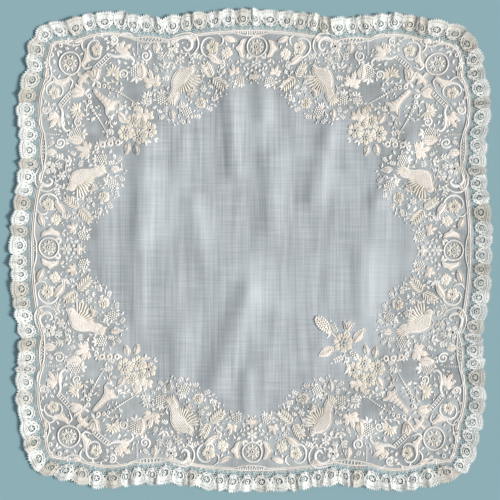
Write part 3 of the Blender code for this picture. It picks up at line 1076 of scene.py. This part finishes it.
border_stitches = copies(octant + small, EIGHT) + copies(corner, MIRRORS) + copies(middle, QUARTERS)
stitches = [(kind, (to_cloth(points), *rest)) for kind, (points, *rest) in border_stitches]
stitches += [(kind, on_sheet(mound)) for kind, mound in spray]
print("stitches on the cloth:", len(stitches))

# %% [markdown]
# ## The corded edge
# The linen isn't hemmed. Its cut edge is overcast with one cord, and a second cord runs inside it.
# In the small lobes, at the corners and beside each middle medallion, the second cord swings
# away and makes room for a band of knotted seeds. All of them follow the scallops, so they run
# on the edge that was read from the solid, each set in by its own distance.

# %% The corded edge
EDGE_STEPS = 1440
OUTER_INSET = 0.75
OUTER_CORD = (1.5, 0.6)  # width, lift
INNER_INSET = 2.3
INNER_CORD = (1.2, 0.9)  # width, lift
BANDS = (
    # from, to, deepest
    (0.0, 15.0, 5.2),
    (74.0, 101.0, 5.2),
    (146.0, 164.0, 5.0),
)
SEED_ROWS = (2.25, 3.8)
SEED_GAP = 2.0
SEED_ROOM = 1.2
EDGE_SEED = (0.78, 0.9)  # radius, lift
fine_edge = along(linen_edge, np.arange(EDGE_STEPS) * STATIONS / EDGE_STEPS)
fine_out = outward(fine_edge)


def inner_inset(places):
    """How far in the second cord runs at each place of the edge: deeper round the bands."""
    across = np.abs(places).min(axis=1)
    depth = np.zeros(len(places))
    for first, last, deepest in BANDS:
        middle_at = first if first == 0.0 else (first + last) / 2
        share = np.clip(1 - ((across - middle_at) / (last - middle_at)) ** 2, 0.0, 1.0)
        depth = np.maximum(depth, deepest * share**0.4)
    return softened(np.maximum(depth, INNER_INSET), 2)


depth = inner_inset(fine_edge)
for inset, size in ((OUTER_INSET, OUTER_CORD), (depth[:, None], INNER_CORD)):
    stitches.append(("cord", on_sheet(cord(fine_edge - fine_out * inset, *size, closed=True))))

edge_seeds = 0
for inset in SEED_ROWS:
    row = fine_edge - fine_out * inset
    gone = 0.0
    for k in range(EDGE_STEPS):
        gone += np.linalg.norm(row[k] - row[k - 1])
        if gone > SEED_GAP and depth[k] > inset + SEED_ROOM:
            stitches.append(("knots", on_sheet(knot(*row[k], *EDGE_SEED, sides=7))))
            edge_seeds += 1
            gone = 0.0
print("seeds in the edge bands:", edge_seeds)

# %% [markdown]
# ## Join the stitches
# Thousands of separate objects would be slow, so the mounds are joined into one mesh for each
# kind of thread. The direction of the threads rides along as a UV map that is measured in
# millimetres, which lets one material draw ridges of the same pitch on a seed and on a wing.

# %% Join the stitches
FLAT_TRIANGLE = 1e-7


def joined(name, mounds):
    """One object from many mounds, which rides on the part's only body."""
    first = np.cumsum([0] + [len(points) for points, _, _ in mounds])
    points = np.vstack([m[0] for m in mounds])
    faces = np.vstack([m[1] + start for m, start in zip(mounds, first)])
    threads = np.vstack([m[2] for m in mounds])
    a, b, c = (points[faces[:, k]] for k in range(3))
    faces = faces[np.linalg.norm(np.cross(b - a, c - a), axis=1) > FLAT_TRIANGLE]
    mesh = bpy.data.meshes.new(name)
    mesh.from_pydata((points * MM).tolist(), [], faces.tolist())
    mesh.uv_layers.new(name="threads")
    mesh.uv_layers["threads"].data.foreach_set("uv", threads[faces.ravel()].astype(np.float32).ravel())
    mesh.shade_smooth()
    made = bpy.data.objects.new(name, mesh)
    bpy.context.scene.collection.objects.link(made)
    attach(made, "root")
    print(f"{name}: {len(faces)} triangles")
    return made


KINDS = (
    # kind, name
    ("satin", "satin_leaves"),
    ("cream", "cream_flowers"),
    ("knots", "knotted_seeds"),
    ("cord", "stitched_cords"),
    ("padded", "padded_shapes"),
)
embroidery = {}
for kind, name in KINDS:
    mounds = [mound for own, mound in stitches if own == kind]
    embroidery[kind] = joined(name, mounds)

# %% [markdown]
# ## The linen
# The linen is one thin sheet whose outline is the scalloped edge, with a real hole in every
# eyelet. The same triangulation that filled the pads fills it from an even lattice of points,
# close enough together to carry the folds.

# %% The linen
LINEN_STEP = 2.4
LINEN_MARGIN = 1.3
HOLE_MARGIN = 2.0
HOLE_REACH = 1.5


def linen_sheet():
    """The linen as one mound: its points, its triangles and its threads' directions."""
    edge = fine_edge[::2]
    holes = [points[:, :2] for kind, (points, _, _) in stitches if kind == "hole"]
    low, high = edge.min(axis=0), edge.max(axis=0)
    places = lattice(low, high, LINEN_STEP)
    places = places[inside(places, edge)]
    places = places[away_from(places, edge) > LINEN_MARGIN]
    for outline in holes:
        places = places[np.hypot(*(places - outline.mean(axis=0)).T) > HOLE_MARGIN]
    flat, faces = filled([edge, *holes], places)
    centres = flat[faces].mean(axis=1)
    in_hole = np.zeros(len(faces), bool)
    for outline in holes:
        close = np.hypot(*(centres - outline.mean(axis=0)).T) < HOLE_REACH
        in_hole[close] |= inside(centres[close], outline)
    points = np.column_stack([flat, sheet_height(flat[:, 0], flat[:, 1])])
    print("eyelets cut:", len(holes))
    return points, faces[~in_hole], flat


linen = joined("linen", [linen_sheet()])
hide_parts("linen_square")

# %% [markdown]
# ## The lace
# The edging is machine lace on net: a strip with one scalloped edge, where drops of close
# cloth stitch hang side by side. The net shows only in the gaps between them. On the
# handkerchief it is gathered, so the strip is longer than the edge that it is sewn to.
#
# It is drawn flat first, with s along the strip and t across it, from the seam to the scallops,
# and one repeat of it is drawn and copied along. Then every point goes to its place on the
# cloth. The solid already has the waves of the gathers, so those are read from its rim, and
# only the fine puckers are added.

# %% Draw the lace flat
REPEAT = 13.0
REPEATS = STATIONS // 3
STRIP = REPEAT * REPEATS
DEPTH = 17.5
VALLEY = 15.5
NET_PITCH = 1.9
NET_OPEN = 0.85
ROUND_AT = (REPEAT / 2, 9.0)
EYE = 2.9
FILL_INSET = 2.1
FILL_STEP = 1.6
SLITS = (
    # angle round the eye, half the length
    (128, 1.0), (172, 1.3), (222, 1.5), (270, 1.2), (318, 1.5), (8, 1.3), (52, 1.0),
)
SLIT_AT = 4.75
SLIT_HALF_WIDTH = 0.42


def scallop(s):
    """How far out the edge of the lace reaches at a place along it."""
    return VALLEY + (DEPTH - VALLEY) * np.abs(np.sin(np.pi * s / REPEAT)) ** 0.9


def drop_outline():
    """Half of a drop, from the valley of the scallops to its blunt end near the seam."""
    return curve([(0.0, 14.0), (0.1, 11.0), (0.9, 7.9), (2.6, 5.3), (4.5, 3.9), (REPEAT / 2, 3.4)], 1.1)


def other_side(path):
    """The mirror image of half a drop."""
    return (REPEAT, 0) + path * (-1, 1)


def drop_fill():
    """The outline that the close stitch of a drop fills."""
    side = drop_outline()
    side = side[side[:, 1] < VALLEY - FILL_INSET]
    s = np.linspace(REPEAT, 0.0, 13)[1:-1]
    rim = np.column_stack([s, scallop(s) - FILL_INSET])
    return np.vstack([side, other_side(side)[-2::-1], rim])


def slit(angle, half):
    """One opening beside the eye: a lens that lies along the round."""
    x, y = beside(*ROUND_AT, angle, SLIT_AT)
    ends = ((-half, 0.0), (0.0, -SLIT_HALF_WIDTH), (half, 0.0), (0.0, SLIT_HALF_WIDTH))
    return np.array([beside(x, y, angle + 90, *end) for end in ends])


def cloth_stitch():
    """The close stitch of a drop, open in the eye and in the slits round it."""
    outline = drop_fill()
    openings = [arc(*ROUND_AT, EYE, 0, 360, 1.2, closed=True)] + [slit(*row) for row in SLITS]
    places = lattice(outline.min(axis=0), outline.max(axis=0), FILL_STEP)
    places = places[inside(places, outline) & (away_from(places, outline) > 0.6)]
    for opening in openings:
        places = places[~inside(places, opening) & (away_from(places, opening) > 0.5)]
    flat, faces = filled([outline, *openings], places)
    centres = flat[faces].mean(axis=1)
    for opening in openings:
        faces, centres = faces[~inside(centres, opening)], centres[~inside(centres, opening)]
    return np.column_stack([flat, np.full(len(flat), 0.1)]), faces, flat


def net():
    """Six-sided meshes of thread, open in the middle, between the drops and in their eyes."""
    across = STRIP / round(STRIP / NET_PITCH)
    rows = np.arange(0.7, DEPTH, across * 0.866)
    row = np.arange(0, STRIP, across)
    cells = np.vstack([
        np.column_stack([row + across / 2 * (k % 2), np.full_like(row, t)])
        for k, t in enumerate(rows)
    ])
    cells = cells[cells[:, 1] < scallop(cells[:, 0]) - 1.0]
    in_repeat = cells % (REPEAT, 2 * DEPTH)
    outline = drop_fill()
    in_eye = np.hypot(*(in_repeat - ROUND_AT).T) < EYE
    cells = cells[in_eye | ~(inside(in_repeat, outline) & (away_from(in_repeat, outline) > 0.7))]
    turns = np.radians(30 + 60 * np.arange(6))
    corner_of = np.column_stack([np.cos(turns), np.sin(turns)]) * across / math.sqrt(3)
    outer = cells[:, None] + corner_of[None]
    inner = cells[:, None] + corner_of[None] * NET_OPEN
    flat = np.stack([outer, inner], axis=2).reshape(-1, 2)
    k = np.arange(6)
    after = (k + 1) % 6
    faces = np.vstack([
        np.column_stack([2 * k, 2 * after, 2 * after + 1]),
        np.column_stack([2 * k, 2 * after + 1, 2 * k + 1]),
    ])
    faces = (faces[None] + 12 * np.arange(len(cells))[:, None, None]).reshape(-1, 3)
    return np.column_stack([flat, np.zeros(len(flat))]), faces, flat.copy()


LACE_ROWS = (
    # inset, width, lift
    (0.45, 0.9, 0.3),
    (1.4, 0.8, 0.3),
    (2.9, 0.8, 0.5),
    (4.2, 0.7, 0.45),
)


def lace_repeat(swirled):
    """One repeat: a filled drop round an open eye, with small petals at its blunt end."""
    made = [cloth_stitch()]
    left = drop_outline()
    for path in (left, other_side(left)):
        made.append(cord(path, 1.0, 0.5, columns=3))
    rim = arc(*ROUND_AT, EYE + 0.35, 0, 360, 1.2, closed=True)
    made.append(cord(rim, 1.0, 0.6, closed=True, columns=3))
    if swirled:
        share = np.linspace(0.0, 1.0, 12)
        path = whorl(*ROUND_AT, 2.0 - 1.6 * share, 60 + 430 * share)
        made.append(cord(path, 0.9, 0.5, columns=3))
        made.append(petal(ROUND_AT[0] - 0.6, ROUND_AT[1] + 1.2, 60, 1.9, 1.0, 0.4, rows=4, columns=3))
    else:
        made.append(knot(*ROUND_AT, 0.8, 0.6, sides=6))
        for k in range(5):
            root = beside(*ROUND_AT, 50 + 72 * k, 0.3)
            made.append(petal(*root, 50 + 72 * k, 2.0, 1.25, 0.5, rows=4, columns=4))
    for s_at in np.arange(0.7, REPEAT, REPEAT / 9):
        made.append(petal(s_at, scallop(s_at) - 0.3, 90, 1.6, 0.8, 0.3, rows=4, columns=3))
    for lean in (-64, -34, 0, 34, 64):
        root = beside(*ROUND_AT, 270 + lean, 5.0)
        made.append(petal(*root, 270 + lean, 1.9, 1.1, 0.5, rows=4, columns=3))
    return made


def along_strip(mounds, first, every):
    """The mounds of one repeat copied along the strip."""
    shift = np.arange(first, REPEATS, every) * REPEAT
    made = []
    for points, faces, threads in mounds:
        many = points[None] + np.stack([shift, 0 * shift, 0 * shift], 1)[:, None]
        many_faces = faces[None] + len(points) * np.arange(len(shift))[:, None, None]
        made.append((many.reshape(-1, 3), many_faces.reshape(-1, 3), many[..., :2].reshape(-1, 2)))
    return made


HEADING_AT = 0.3
flat_lace = [net()] + along_strip(lace_repeat(False), 0, 2) + along_strip(lace_repeat(True), 1, 2)
s = np.linspace(0.0, STRIP, 12 * REPEATS + 1)
rows = [(scallop(s) - inset, width, lift) for inset, width, lift in LACE_ROWS]
rows.append((np.full_like(s, HEADING_AT), 0.5, 0.2))
for t, width, lift in rows:
    points, faces, _ = cord(np.column_stack([s, t]), width, lift, columns=3)
    flat_lace.append((points, faces, points[:, :2].copy()))


# %% Sew the lace round the linen
LACE_GAP = 0.3
LEAN_SHARE = 0.6
WOBBLE = 0.05
BUNCHING = (
    # period, shift at the edge
    (31.0, 1.5),
    (53.0, 1.2),
    (83.0, 1.6),
)
LACE_BASE = 0.35
WAVE_GROWTH = 1.5
PUCKERS = (
    # period, height at the seam, height at the edge
    (4.1, 0.35, 0.1),
    (6.7, 0.30, 0.4),
    (11.3, 0.15, 0.7),
    (17.9, 0.0, 0.6),
)


reach = np.linalg.norm(lace_outer[:, :2] - linen_edge, axis=1)
valley = min(range(3), key=lambda k: reach[k::3].mean())
crown = softened(np.maximum(np.maximum(np.roll(reach, 1), np.roll(reach, -1)), reach), 1) - LACE_GAP
away = softened((lace_outer[:, :2] - linen_edge) / reach[:, None], 1)
away /= np.linalg.norm(away, axis=1)[:, None]
seam = np.column_stack([linen_edge, away, crown, softened(lace_outer[:, 2], 1)])


def sewn(points):
    """Points of the flat strip at their places on the cloth."""
    s, t, lift = points.T
    share = np.clip(t / DEPTH, 0.0, 1.1)
    here = along(seam, valley + 3 * s / REPEAT)
    pucker = np.zeros(len(s))
    lean = np.zeros(len(s))
    for period, at_seam, at_edge in PUCKERS:
        turns = 2 * np.pi * (s / period + 0.35 * np.sin(s / 57.0 + period))
        size = at_seam + (at_edge - at_seam) * share
        pucker += size * (0.5 + 0.5 * np.sin(turns))
        lean += size * np.cos(turns)
    lean *= LEAN_SHARE
    for period, shift in BUNCHING:
        lean += shift * np.sin(2 * np.pi * s / period + period)
    tangent = np.column_stack([-here[:, 3], here[:, 2]])
    deeper = 1.0 + WOBBLE * np.sin(2 * np.pi * s / 37.0 + 1.3) * np.sin(2 * np.pi * s / 91.0)
    out = (LACE_GAP + share * here[:, 4] * deeper)[:, None]
    flat = here[:, :2] + here[:, 2:4] * out + tangent * (lean * share)[:, None]
    height = LACE_BASE + here[:, 5] * share**WAVE_GROWTH + pucker + lift
    return np.column_stack([flat, height])


lace = joined("lace", [(sewn(p), f[:, ::-1], t) for p, f, t in flat_lace])
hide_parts("lace_edging")


# %% [markdown]
# ## The gathered length of the lace
# The lace is longer flat than the edge that it is gathered to. This measures the length of a line along the
# strip once it is sewn on.


SMOOTH_AT = 0.8 * DEPTH
strip_places = np.linspace(0.0, STRIP, 50 * REPEATS)
smooth_line = np.column_stack([strip_places, np.full_like(strip_places, SMOOTH_AT), 0 * strip_places])
gathered_length = np.linalg.norm(np.diff(sewn(smooth_line), axis=0), axis=1).sum()

# %% [markdown]
# ## Thread, tint and weave
# Three effects are shared by the finishes, so each is a node group. Thread ridges read the
# joined meshes' thread map. The hand tint drifts between two shades of one colour, as old
# cotton does. The plain weave gives the linen its crossing threads and the long slubs of
# handspun yarn, which run both ways and are what the eye sees from afar.

# %% Helpers for node groups
def link(tree, source, target):
    """Feeds a socket from another one, or sets it to a number or a colour."""
    if isinstance(source, (int, float, tuple)):
        target.default_value = source
    else:
        tree.links.new(source, target)


def calculated(tree, operation, *values):
    """A Math node; each value is a number or a socket."""
    node = tree.nodes.new("ShaderNodeMath")
    node.operation = operation
    for socket, value in zip(node.inputs, values):
        link(tree, value, socket)
    return node.outputs["Value"]


def noise_at(tree, place, scale, detail=2.0):
    """The value of a noise texture."""
    node = tree.nodes.new("ShaderNodeTexNoise")
    for name, value in (("Detail", detail), ("Scale", scale), ("Vector", place)):
        link(tree, value, node.inputs[name])
    return node.outputs["Fac"]


def mixed(tree, share, first, second):
    """A colour between two others; each is a tuple or a socket."""
    node = tree.nodes.new("ShaderNodeMix")
    node.data_type = "RGBA"
    for name, value in (("Factor", share), (6, first), (7, second)):
        link(tree, value, node.inputs[name])
    return node.outputs[2]


def ranged(tree, value, low, high, new_low, new_high):
    """A value mapped from one range to another, and held inside it."""
    node = tree.nodes.new("ShaderNodeMapRange")
    names = ("From Min", "From Max", "To Min", "To Max", "Value")
    for name, source in zip(names, (low, high, new_low, new_high, value)):
        link(tree, source, node.inputs[name])
    return node.outputs["Result"]


def thread_map(tree):
    """Where the threads run, as the joined meshes carry it."""
    node = tree.nodes.new("ShaderNodeUVMap")
    node.uv_map = "threads"
    return node.outputs["UV"]


def axes_of(tree, place):
    """The parts of a place, by axis."""
    node = tree.nodes.new("ShaderNodeSeparateXYZ")
    link(tree, place, node.inputs["Vector"])
    return node.outputs


def group_with(name, inputs, outputs):
    """An empty node group with named sockets, and its input and output nodes."""
    group = bpy.data.node_groups.new(name, "ShaderNodeTree")
    for label, kind, value in inputs:
        socket = group.interface.new_socket(label, in_out="INPUT", socket_type=kind)
        socket.default_value = value
    for label, kind in outputs:
        group.interface.new_socket(label, in_out="OUTPUT", socket_type=kind)
    return group, group.nodes.new("NodeGroupInput"), group.nodes.new("NodeGroupOutput")


# %% Thread ridges
FLOAT = "NodeSocketFloat"
COLOUR = "NodeSocketColor"


def thread_ridges():
    """Round ridges across the thread map, with a slight wander."""
    inputs = [("Pitch", FLOAT, 0.5), ("Slant", FLOAT, 0.0)]
    group, given, result = group_with("thread ridges", inputs, [("Height", FLOAT)])
    place = thread_map(group)
    axes = axes_of(group, place)
    slanted = calculated(group, "MULTIPLY", axes["Y"], given.outputs["Slant"])
    sum_of = calculated(group, "ADD", axes["X"], slanted)
    wander = calculated(group, "MULTIPLY", noise_at(group, place, 0.9), 0.5)
    turns = calculated(group, "DIVIDE", calculated(group, "ADD", sum_of, wander), given.outputs["Pitch"])
    wave = calculated(group, "SINE", calculated(group, "MULTIPLY", turns, 2 * math.pi))
    link(group, calculated(group, "MULTIPLY_ADD", wave, 0.5), result.inputs["Height"])
    return group


# %% Hand tint
def hand_tint():
    """A slow drift between two shades."""
    white = (1, 1, 1, 1)
    inputs = [("Light", COLOUR, white), ("Deep", COLOUR, white), ("Spots per metre", FLOAT, 30.0)]
    group, given, result = group_with("hand tint", inputs, [("Colour", COLOUR)])
    place = group.nodes.new("ShaderNodeTexCoord")
    drift = noise_at(group, place.outputs["Object"], given.outputs["Spots per metre"], 3.0)
    share = ranged(group, drift, 0.35, 0.65, 0.0, 1.0)
    link(group, mixed(group, share, given.outputs["Light"], given.outputs["Deep"]), result.inputs["Colour"])
    return group


# %% Plain weave
STREAKS = (
    # first axis, second axis, across, along, weight
    ("X", "Y", 760.0, 16.0, 0.40),
    ("Y", "X", 760.0, 30.0, 0.26),
    ("X", "Y", 190.0, 17.0, 0.34),
)


def plain_weave():
    """Crossing threads, and slubs that run both ways, the upright ones also in broad streaks."""
    outputs = [("Height", FLOAT), ("Slubs", FLOAT)]
    group, given, result = group_with("plain weave", [("Threads per metre", FLOAT, 2400.0)], outputs)
    place = group.nodes.new("ShaderNodeTexCoord")
    axes = axes_of(group, place.outputs["Object"])
    waves = []
    for axis in ("X", "Y"):
        turns = calculated(group, "MULTIPLY", axes[axis], given.outputs["Threads per metre"])
        waves.append(calculated(group, "SINE", calculated(group, "MULTIPLY", turns, 2 * math.pi)))
    slubs = 0.0
    for first, second, across, along_it, weight in STREAKS:
        streak = group.nodes.new("ShaderNodeCombineXYZ")
        link(group, calculated(group, "MULTIPLY", axes[first], across), streak.inputs["X"])
        link(group, calculated(group, "MULTIPLY", axes[second], along_it), streak.inputs["Y"])
        part = calculated(group, "MULTIPLY", noise_at(group, streak.outputs["Vector"], 1.0, 1.0), weight)
        slubs = calculated(group, "ADD", part, slubs)
    link(group, calculated(group, "ADD", *waves), result.inputs["Height"])
    link(group, slubs, result.inputs["Slubs"])
    return group


THREAD_RIDGES = thread_ridges()
HAND_TINT = hand_tint()
PLAIN_WEAVE = plain_weave()


# %% [markdown]
# ## The finishes
# Each finish is one Principled shader. Linen lets some of the table through: that is an alpha
# below one, a little lower between the slubs. The white threads are matt cotton, whiter in the
# leaves and warmer in the padded shapes, where more layers of thread lie over one another.

# %% Start a finish
def finish_named(name, roughness, sheen):
    """A material with a Principled shader, and its node tree."""
    material = bpy.data.materials.new(name)
    material.use_nodes = True
    tree = material.node_tree
    shader = tree.nodes["Principled BSDF"]
    shader.inputs["Roughness"].default_value = roughness
    shader.inputs["Specular IOR Level"].default_value = 0.25
    shader.inputs["Sheen Weight"].default_value = sheen
    return material, tree, shader


def scaled(tree, colour, factor):
    """A colour made lighter or darker by a factor."""
    scale = tree.nodes.new("ShaderNodeVectorMath")
    scale.operation = "SCALE"
    link(tree, colour, scale.inputs[0])
    link(tree, factor, scale.inputs["Scale"])
    return scale.outputs["Vector"]


def placed(tree, group, **values):
    """A node group placed in a material, with its own values."""
    node = tree.nodes.new("ShaderNodeGroup")
    node.node_tree = group
    for label, value in values.items():
        node.inputs[label.replace("_", " ")].default_value = value
    return node


def raised(tree, shader, height, strength, distance):
    """Feeds a height to the shader's normal through a Bump node."""
    bump = tree.nodes.new("ShaderNodeBump")
    bump.inputs["Strength"].default_value = strength
    bump.inputs["Distance"].default_value = distance
    link(tree, height, bump.inputs["Height"])
    link(tree, bump.outputs["Normal"], shader.inputs["Normal"])


# %% Cotton threads
THREADS = (
    # kind, name, light, deep, pitch, slant, ridge
    ("satin", "white satin thread", (0.90, 0.88, 0.85), (0.69, 0.67, 0.63), 0.55, 0.25, 0.0002),
    ("cream", "cream satin thread", (0.89, 0.84, 0.75), (0.70, 0.65, 0.56), 0.60, 0.25, 0.0003),
    ("knots", "knotted thread", (0.88, 0.85, 0.80), (0.69, 0.66, 0.60), 0.60, 0.0, 0.0002),
    ("cord", "corded thread", (0.90, 0.86, 0.81), (0.73, 0.69, 0.64), 0.70, 0.6, 0.0003),
    ("padded", "padded cotton", (0.90, 0.83, 0.76), (0.76, 0.69, 0.62), 0.80, 0.0, 0.0003),
)


def cotton(name, light, deep, pitch, slant, ridge):
    """Matt cotton with the ridges of its threads."""
    material, tree, shader = finish_named(name, 0.75, 0.15)
    tint = placed(tree, HAND_TINT, Light=(*light, 1), Deep=(*deep, 1), Spots_per_metre=45.0)
    link(tree, tint.outputs["Colour"], shader.inputs["Base Color"])
    ridges = placed(tree, THREAD_RIDGES, Pitch=pitch, Slant=slant)
    raised(tree, shader, ridges.outputs["Height"], 0.7, ridge)
    return material


for kind, *look in THREADS:
    embroidery[kind].data.materials.append(cotton(*look))


# %% Sheer linen
BORDER_FROM = 0.128
BORDER_TO = 0.146
GAPS = (0.355, 0.385, 0.415, 1)
SLUBS = (0.575, 0.615, 0.645, 1)
CLOUDS = (0.62, 0.67, 0.70, 1)
GROUND_DEEP = (0.345, 0.37, 0.375, 1)
GROUND_LIGHT = (0.475, 0.505, 0.515, 1)


def sheer_linen():
    """Fine linen that the table shows through, darker and patchier in the border band than in the middle.
    """
    material, tree, shader = finish_named("sheer linen", 0.8, 0.1)
    weave = placed(tree, PLAIN_WEAVE, Threads_per_metre=1900.0)
    slubs = weave.outputs["Slubs"]
    place = tree.nodes.new("ShaderNodeTexCoord").outputs["Object"]
    threads = mixed(tree, ranged(tree, slubs, 0.30, 0.70, 0.0, 1.0), GAPS, SLUBS)
    clouds = ranged(tree, noise_at(tree, place, 13.0), 0.48, 0.68, 0.0, 0.6)
    washed = mixed(tree, clouds, threads, CLOUDS)
    from_centre = tree.nodes.new("ShaderNodeVectorMath")
    from_centre.operation = "LENGTH"
    link(tree, place, from_centre.inputs[0])
    # The ground in the border band is mixed in darker and patchier than the middle.
    in_border = ranged(tree, from_centre.outputs["Value"], BORDER_FROM, BORDER_TO, 0.0, 0.75)
    patches = ranged(tree, noise_at(tree, place, 55.0), 0.38, 0.62, 0.0, 1.0)
    border_ground_colour = mixed(tree, patches, GROUND_DEEP, GROUND_LIGHT)
    wash = ranged(tree, noise_at(tree, place, 24.0), 0.40, 0.60, 0.78, 1.22)
    ground = scaled(tree, border_ground_colour, wash)
    link(tree, mixed(tree, in_border, washed, ground), shader.inputs["Base Color"])
    link(tree, ranged(tree, slubs, 0.35, 0.65, 0.76, 0.90), shader.inputs["Alpha"])
    raised(tree, shader, weave.outputs["Height"], 0.4, 0.0001)
    return material


linen.data.materials.append(sheer_linen())


# %% Lace thread
LACE_LIGHT = (0.91, 0.92, 0.89, 1)
LACE_DEEP = (0.75, 0.76, 0.73, 1)
# The next colour is painted shade: the grey of drops that face away from the light.
LACE_PAINTED_SHADE = (0.60, 0.56, 0.49, 1)
# The next colour is the table seen through looser stitches, with painted shade in the gaps between them.
LACE_SEEN_THROUGH_AND_SHADE = (0.40, 0.44, 0.44, 1)


def lace_thread():
    """White thread on net. Single repeats, picked at random, are painted greyer: painted shade for drops
    that face away from the light.
    """
    material, tree, shader = finish_named("lace thread", 0.75, 0.15)
    place = thread_map(tree)
    number = calculated(tree, "FLOOR", calculated(tree, "DIVIDE", axes_of(tree, place)["X"], REPEAT))
    chance = tree.nodes.new("ShaderNodeTexWhiteNoise")
    chance.noise_dimensions = "1D"
    link(tree, number, chance.inputs["W"])
    # Repeats chosen at random are mixed towards that grey, as painted shade of tilted drops.
    shaded_repeats = ranged(tree, chance.outputs["Value"], 0.45, 0.95, 0.0, 1.0)
    tint = placed(tree, HAND_TINT, Light=LACE_LIGHT, Deep=LACE_DEEP, Spots_per_metre=60.0)
    drop_colour_with_shade = mixed(tree, shaded_repeats, tint.outputs["Colour"], LACE_PAINTED_SHADE)
    # Small patches are mixed towards it: the table seen through, and painted shade in the stitch gaps.
    gaps_and_shade = ranged(tree, noise_at(tree, place, 0.75), 0.46, 0.62, 0.0, 0.45)
    colour = mixed(tree, gaps_and_shade, drop_colour_with_shade, LACE_SEEN_THROUGH_AND_SHADE)
    link(tree, colour, shader.inputs["Base Color"])
    ridges = placed(tree, THREAD_RIDGES, Pitch=0.8, Slant=0.0)
    raised(tree, shader, ridges.outputs["Height"], 0.6, 0.0002)
    return material


lace.data.materials.append(lace_thread())

# %% [markdown]
# ## Floor, light and camera
# The cloth lies on a plain table under soft daylight from the right. A low sun with soft
# edges picks out the relief, and an even sky keeps the shadows open. The camera
# looks straight down, far enough away that its long lens just takes in the whole edge.

# %% Floor, light and camera
FRAME_WIDTH = 0.4357
LENS = 85.0
SENSOR = 36.0
CAMERA_AT = (-0.00087, 0.00052)
SUN_FROM = (0.95, -0.15, 0.57)
SUN_POWER = 5.3
SUN_DEGREES = 12.0
SUN_COLOUR = (1.0, 0.98, 0.95)
SKY_POWER = 0.36
SKY_COLOUR = (0.9, 0.95, 1.0, 1)
FLOOR_SIZE = 6.0
FLOOR_DROP = 0.0002
FLOOR_COLOUR = (0.23, 0.36, 0.40, 1)


def add_floor():
    """A plain floor in a light blue-green, which shows a little through the linen."""
    bpy.ops.mesh.primitive_plane_add(size=FLOOR_SIZE, location=(0.0, 0.0, -FLOOR_DROP))
    floor = bpy.context.object
    floor.name = "floor"
    material = bpy.data.materials.new("plain floor")
    material.use_nodes = True
    shader = material.node_tree.nodes["Principled BSDF"]
    shader.inputs["Base Color"].default_value = FLOOR_COLOUR
    shader.inputs["Roughness"].default_value = 0.9
    shader.inputs["Specular IOR Level"].default_value = 0.1
    floor.data.materials.append(material)


def add_daylight():
    """A low, soft sun from the right, so that every part of the cloth is lit alike."""
    lamp = bpy.data.lights.new("daylight", "SUN")
    lamp.energy = SUN_POWER
    lamp.angle = math.radians(SUN_DEGREES)
    lamp.color = SUN_COLOUR
    made = bpy.data.objects.new("daylight", lamp)
    made.rotation_euler = Vector(SUN_FROM).to_track_quat("Z", "Y").to_euler()
    bpy.context.scene.collection.objects.link(made)


def add_camera():
    """A camera that looks straight down, with the top of the picture along +Y."""
    camera = bpy.data.cameras.new("camera")
    camera.lens = LENS
    camera.sensor_width = SENSOR
    camera.clip_end = 20.0
    made = bpy.data.objects.new("camera", camera)
    made.location = (*CAMERA_AT, FRAME_WIDTH * LENS / SENSOR)
    bpy.context.scene.collection.objects.link(made)
    bpy.context.scene.camera = made


def add_world():
    """A dim, even sky."""
    world = bpy.data.worlds.new("sky")
    world.use_nodes = True
    background = world.node_tree.nodes["Background"]
    background.inputs["Color"].default_value = SKY_COLOUR
    background.inputs["Strength"].default_value = SKY_POWER
    bpy.context.scene.world = world


add_floor()
add_daylight()
add_camera()
add_world()
bpy.context.scene.view_settings.view_transform = "Standard"
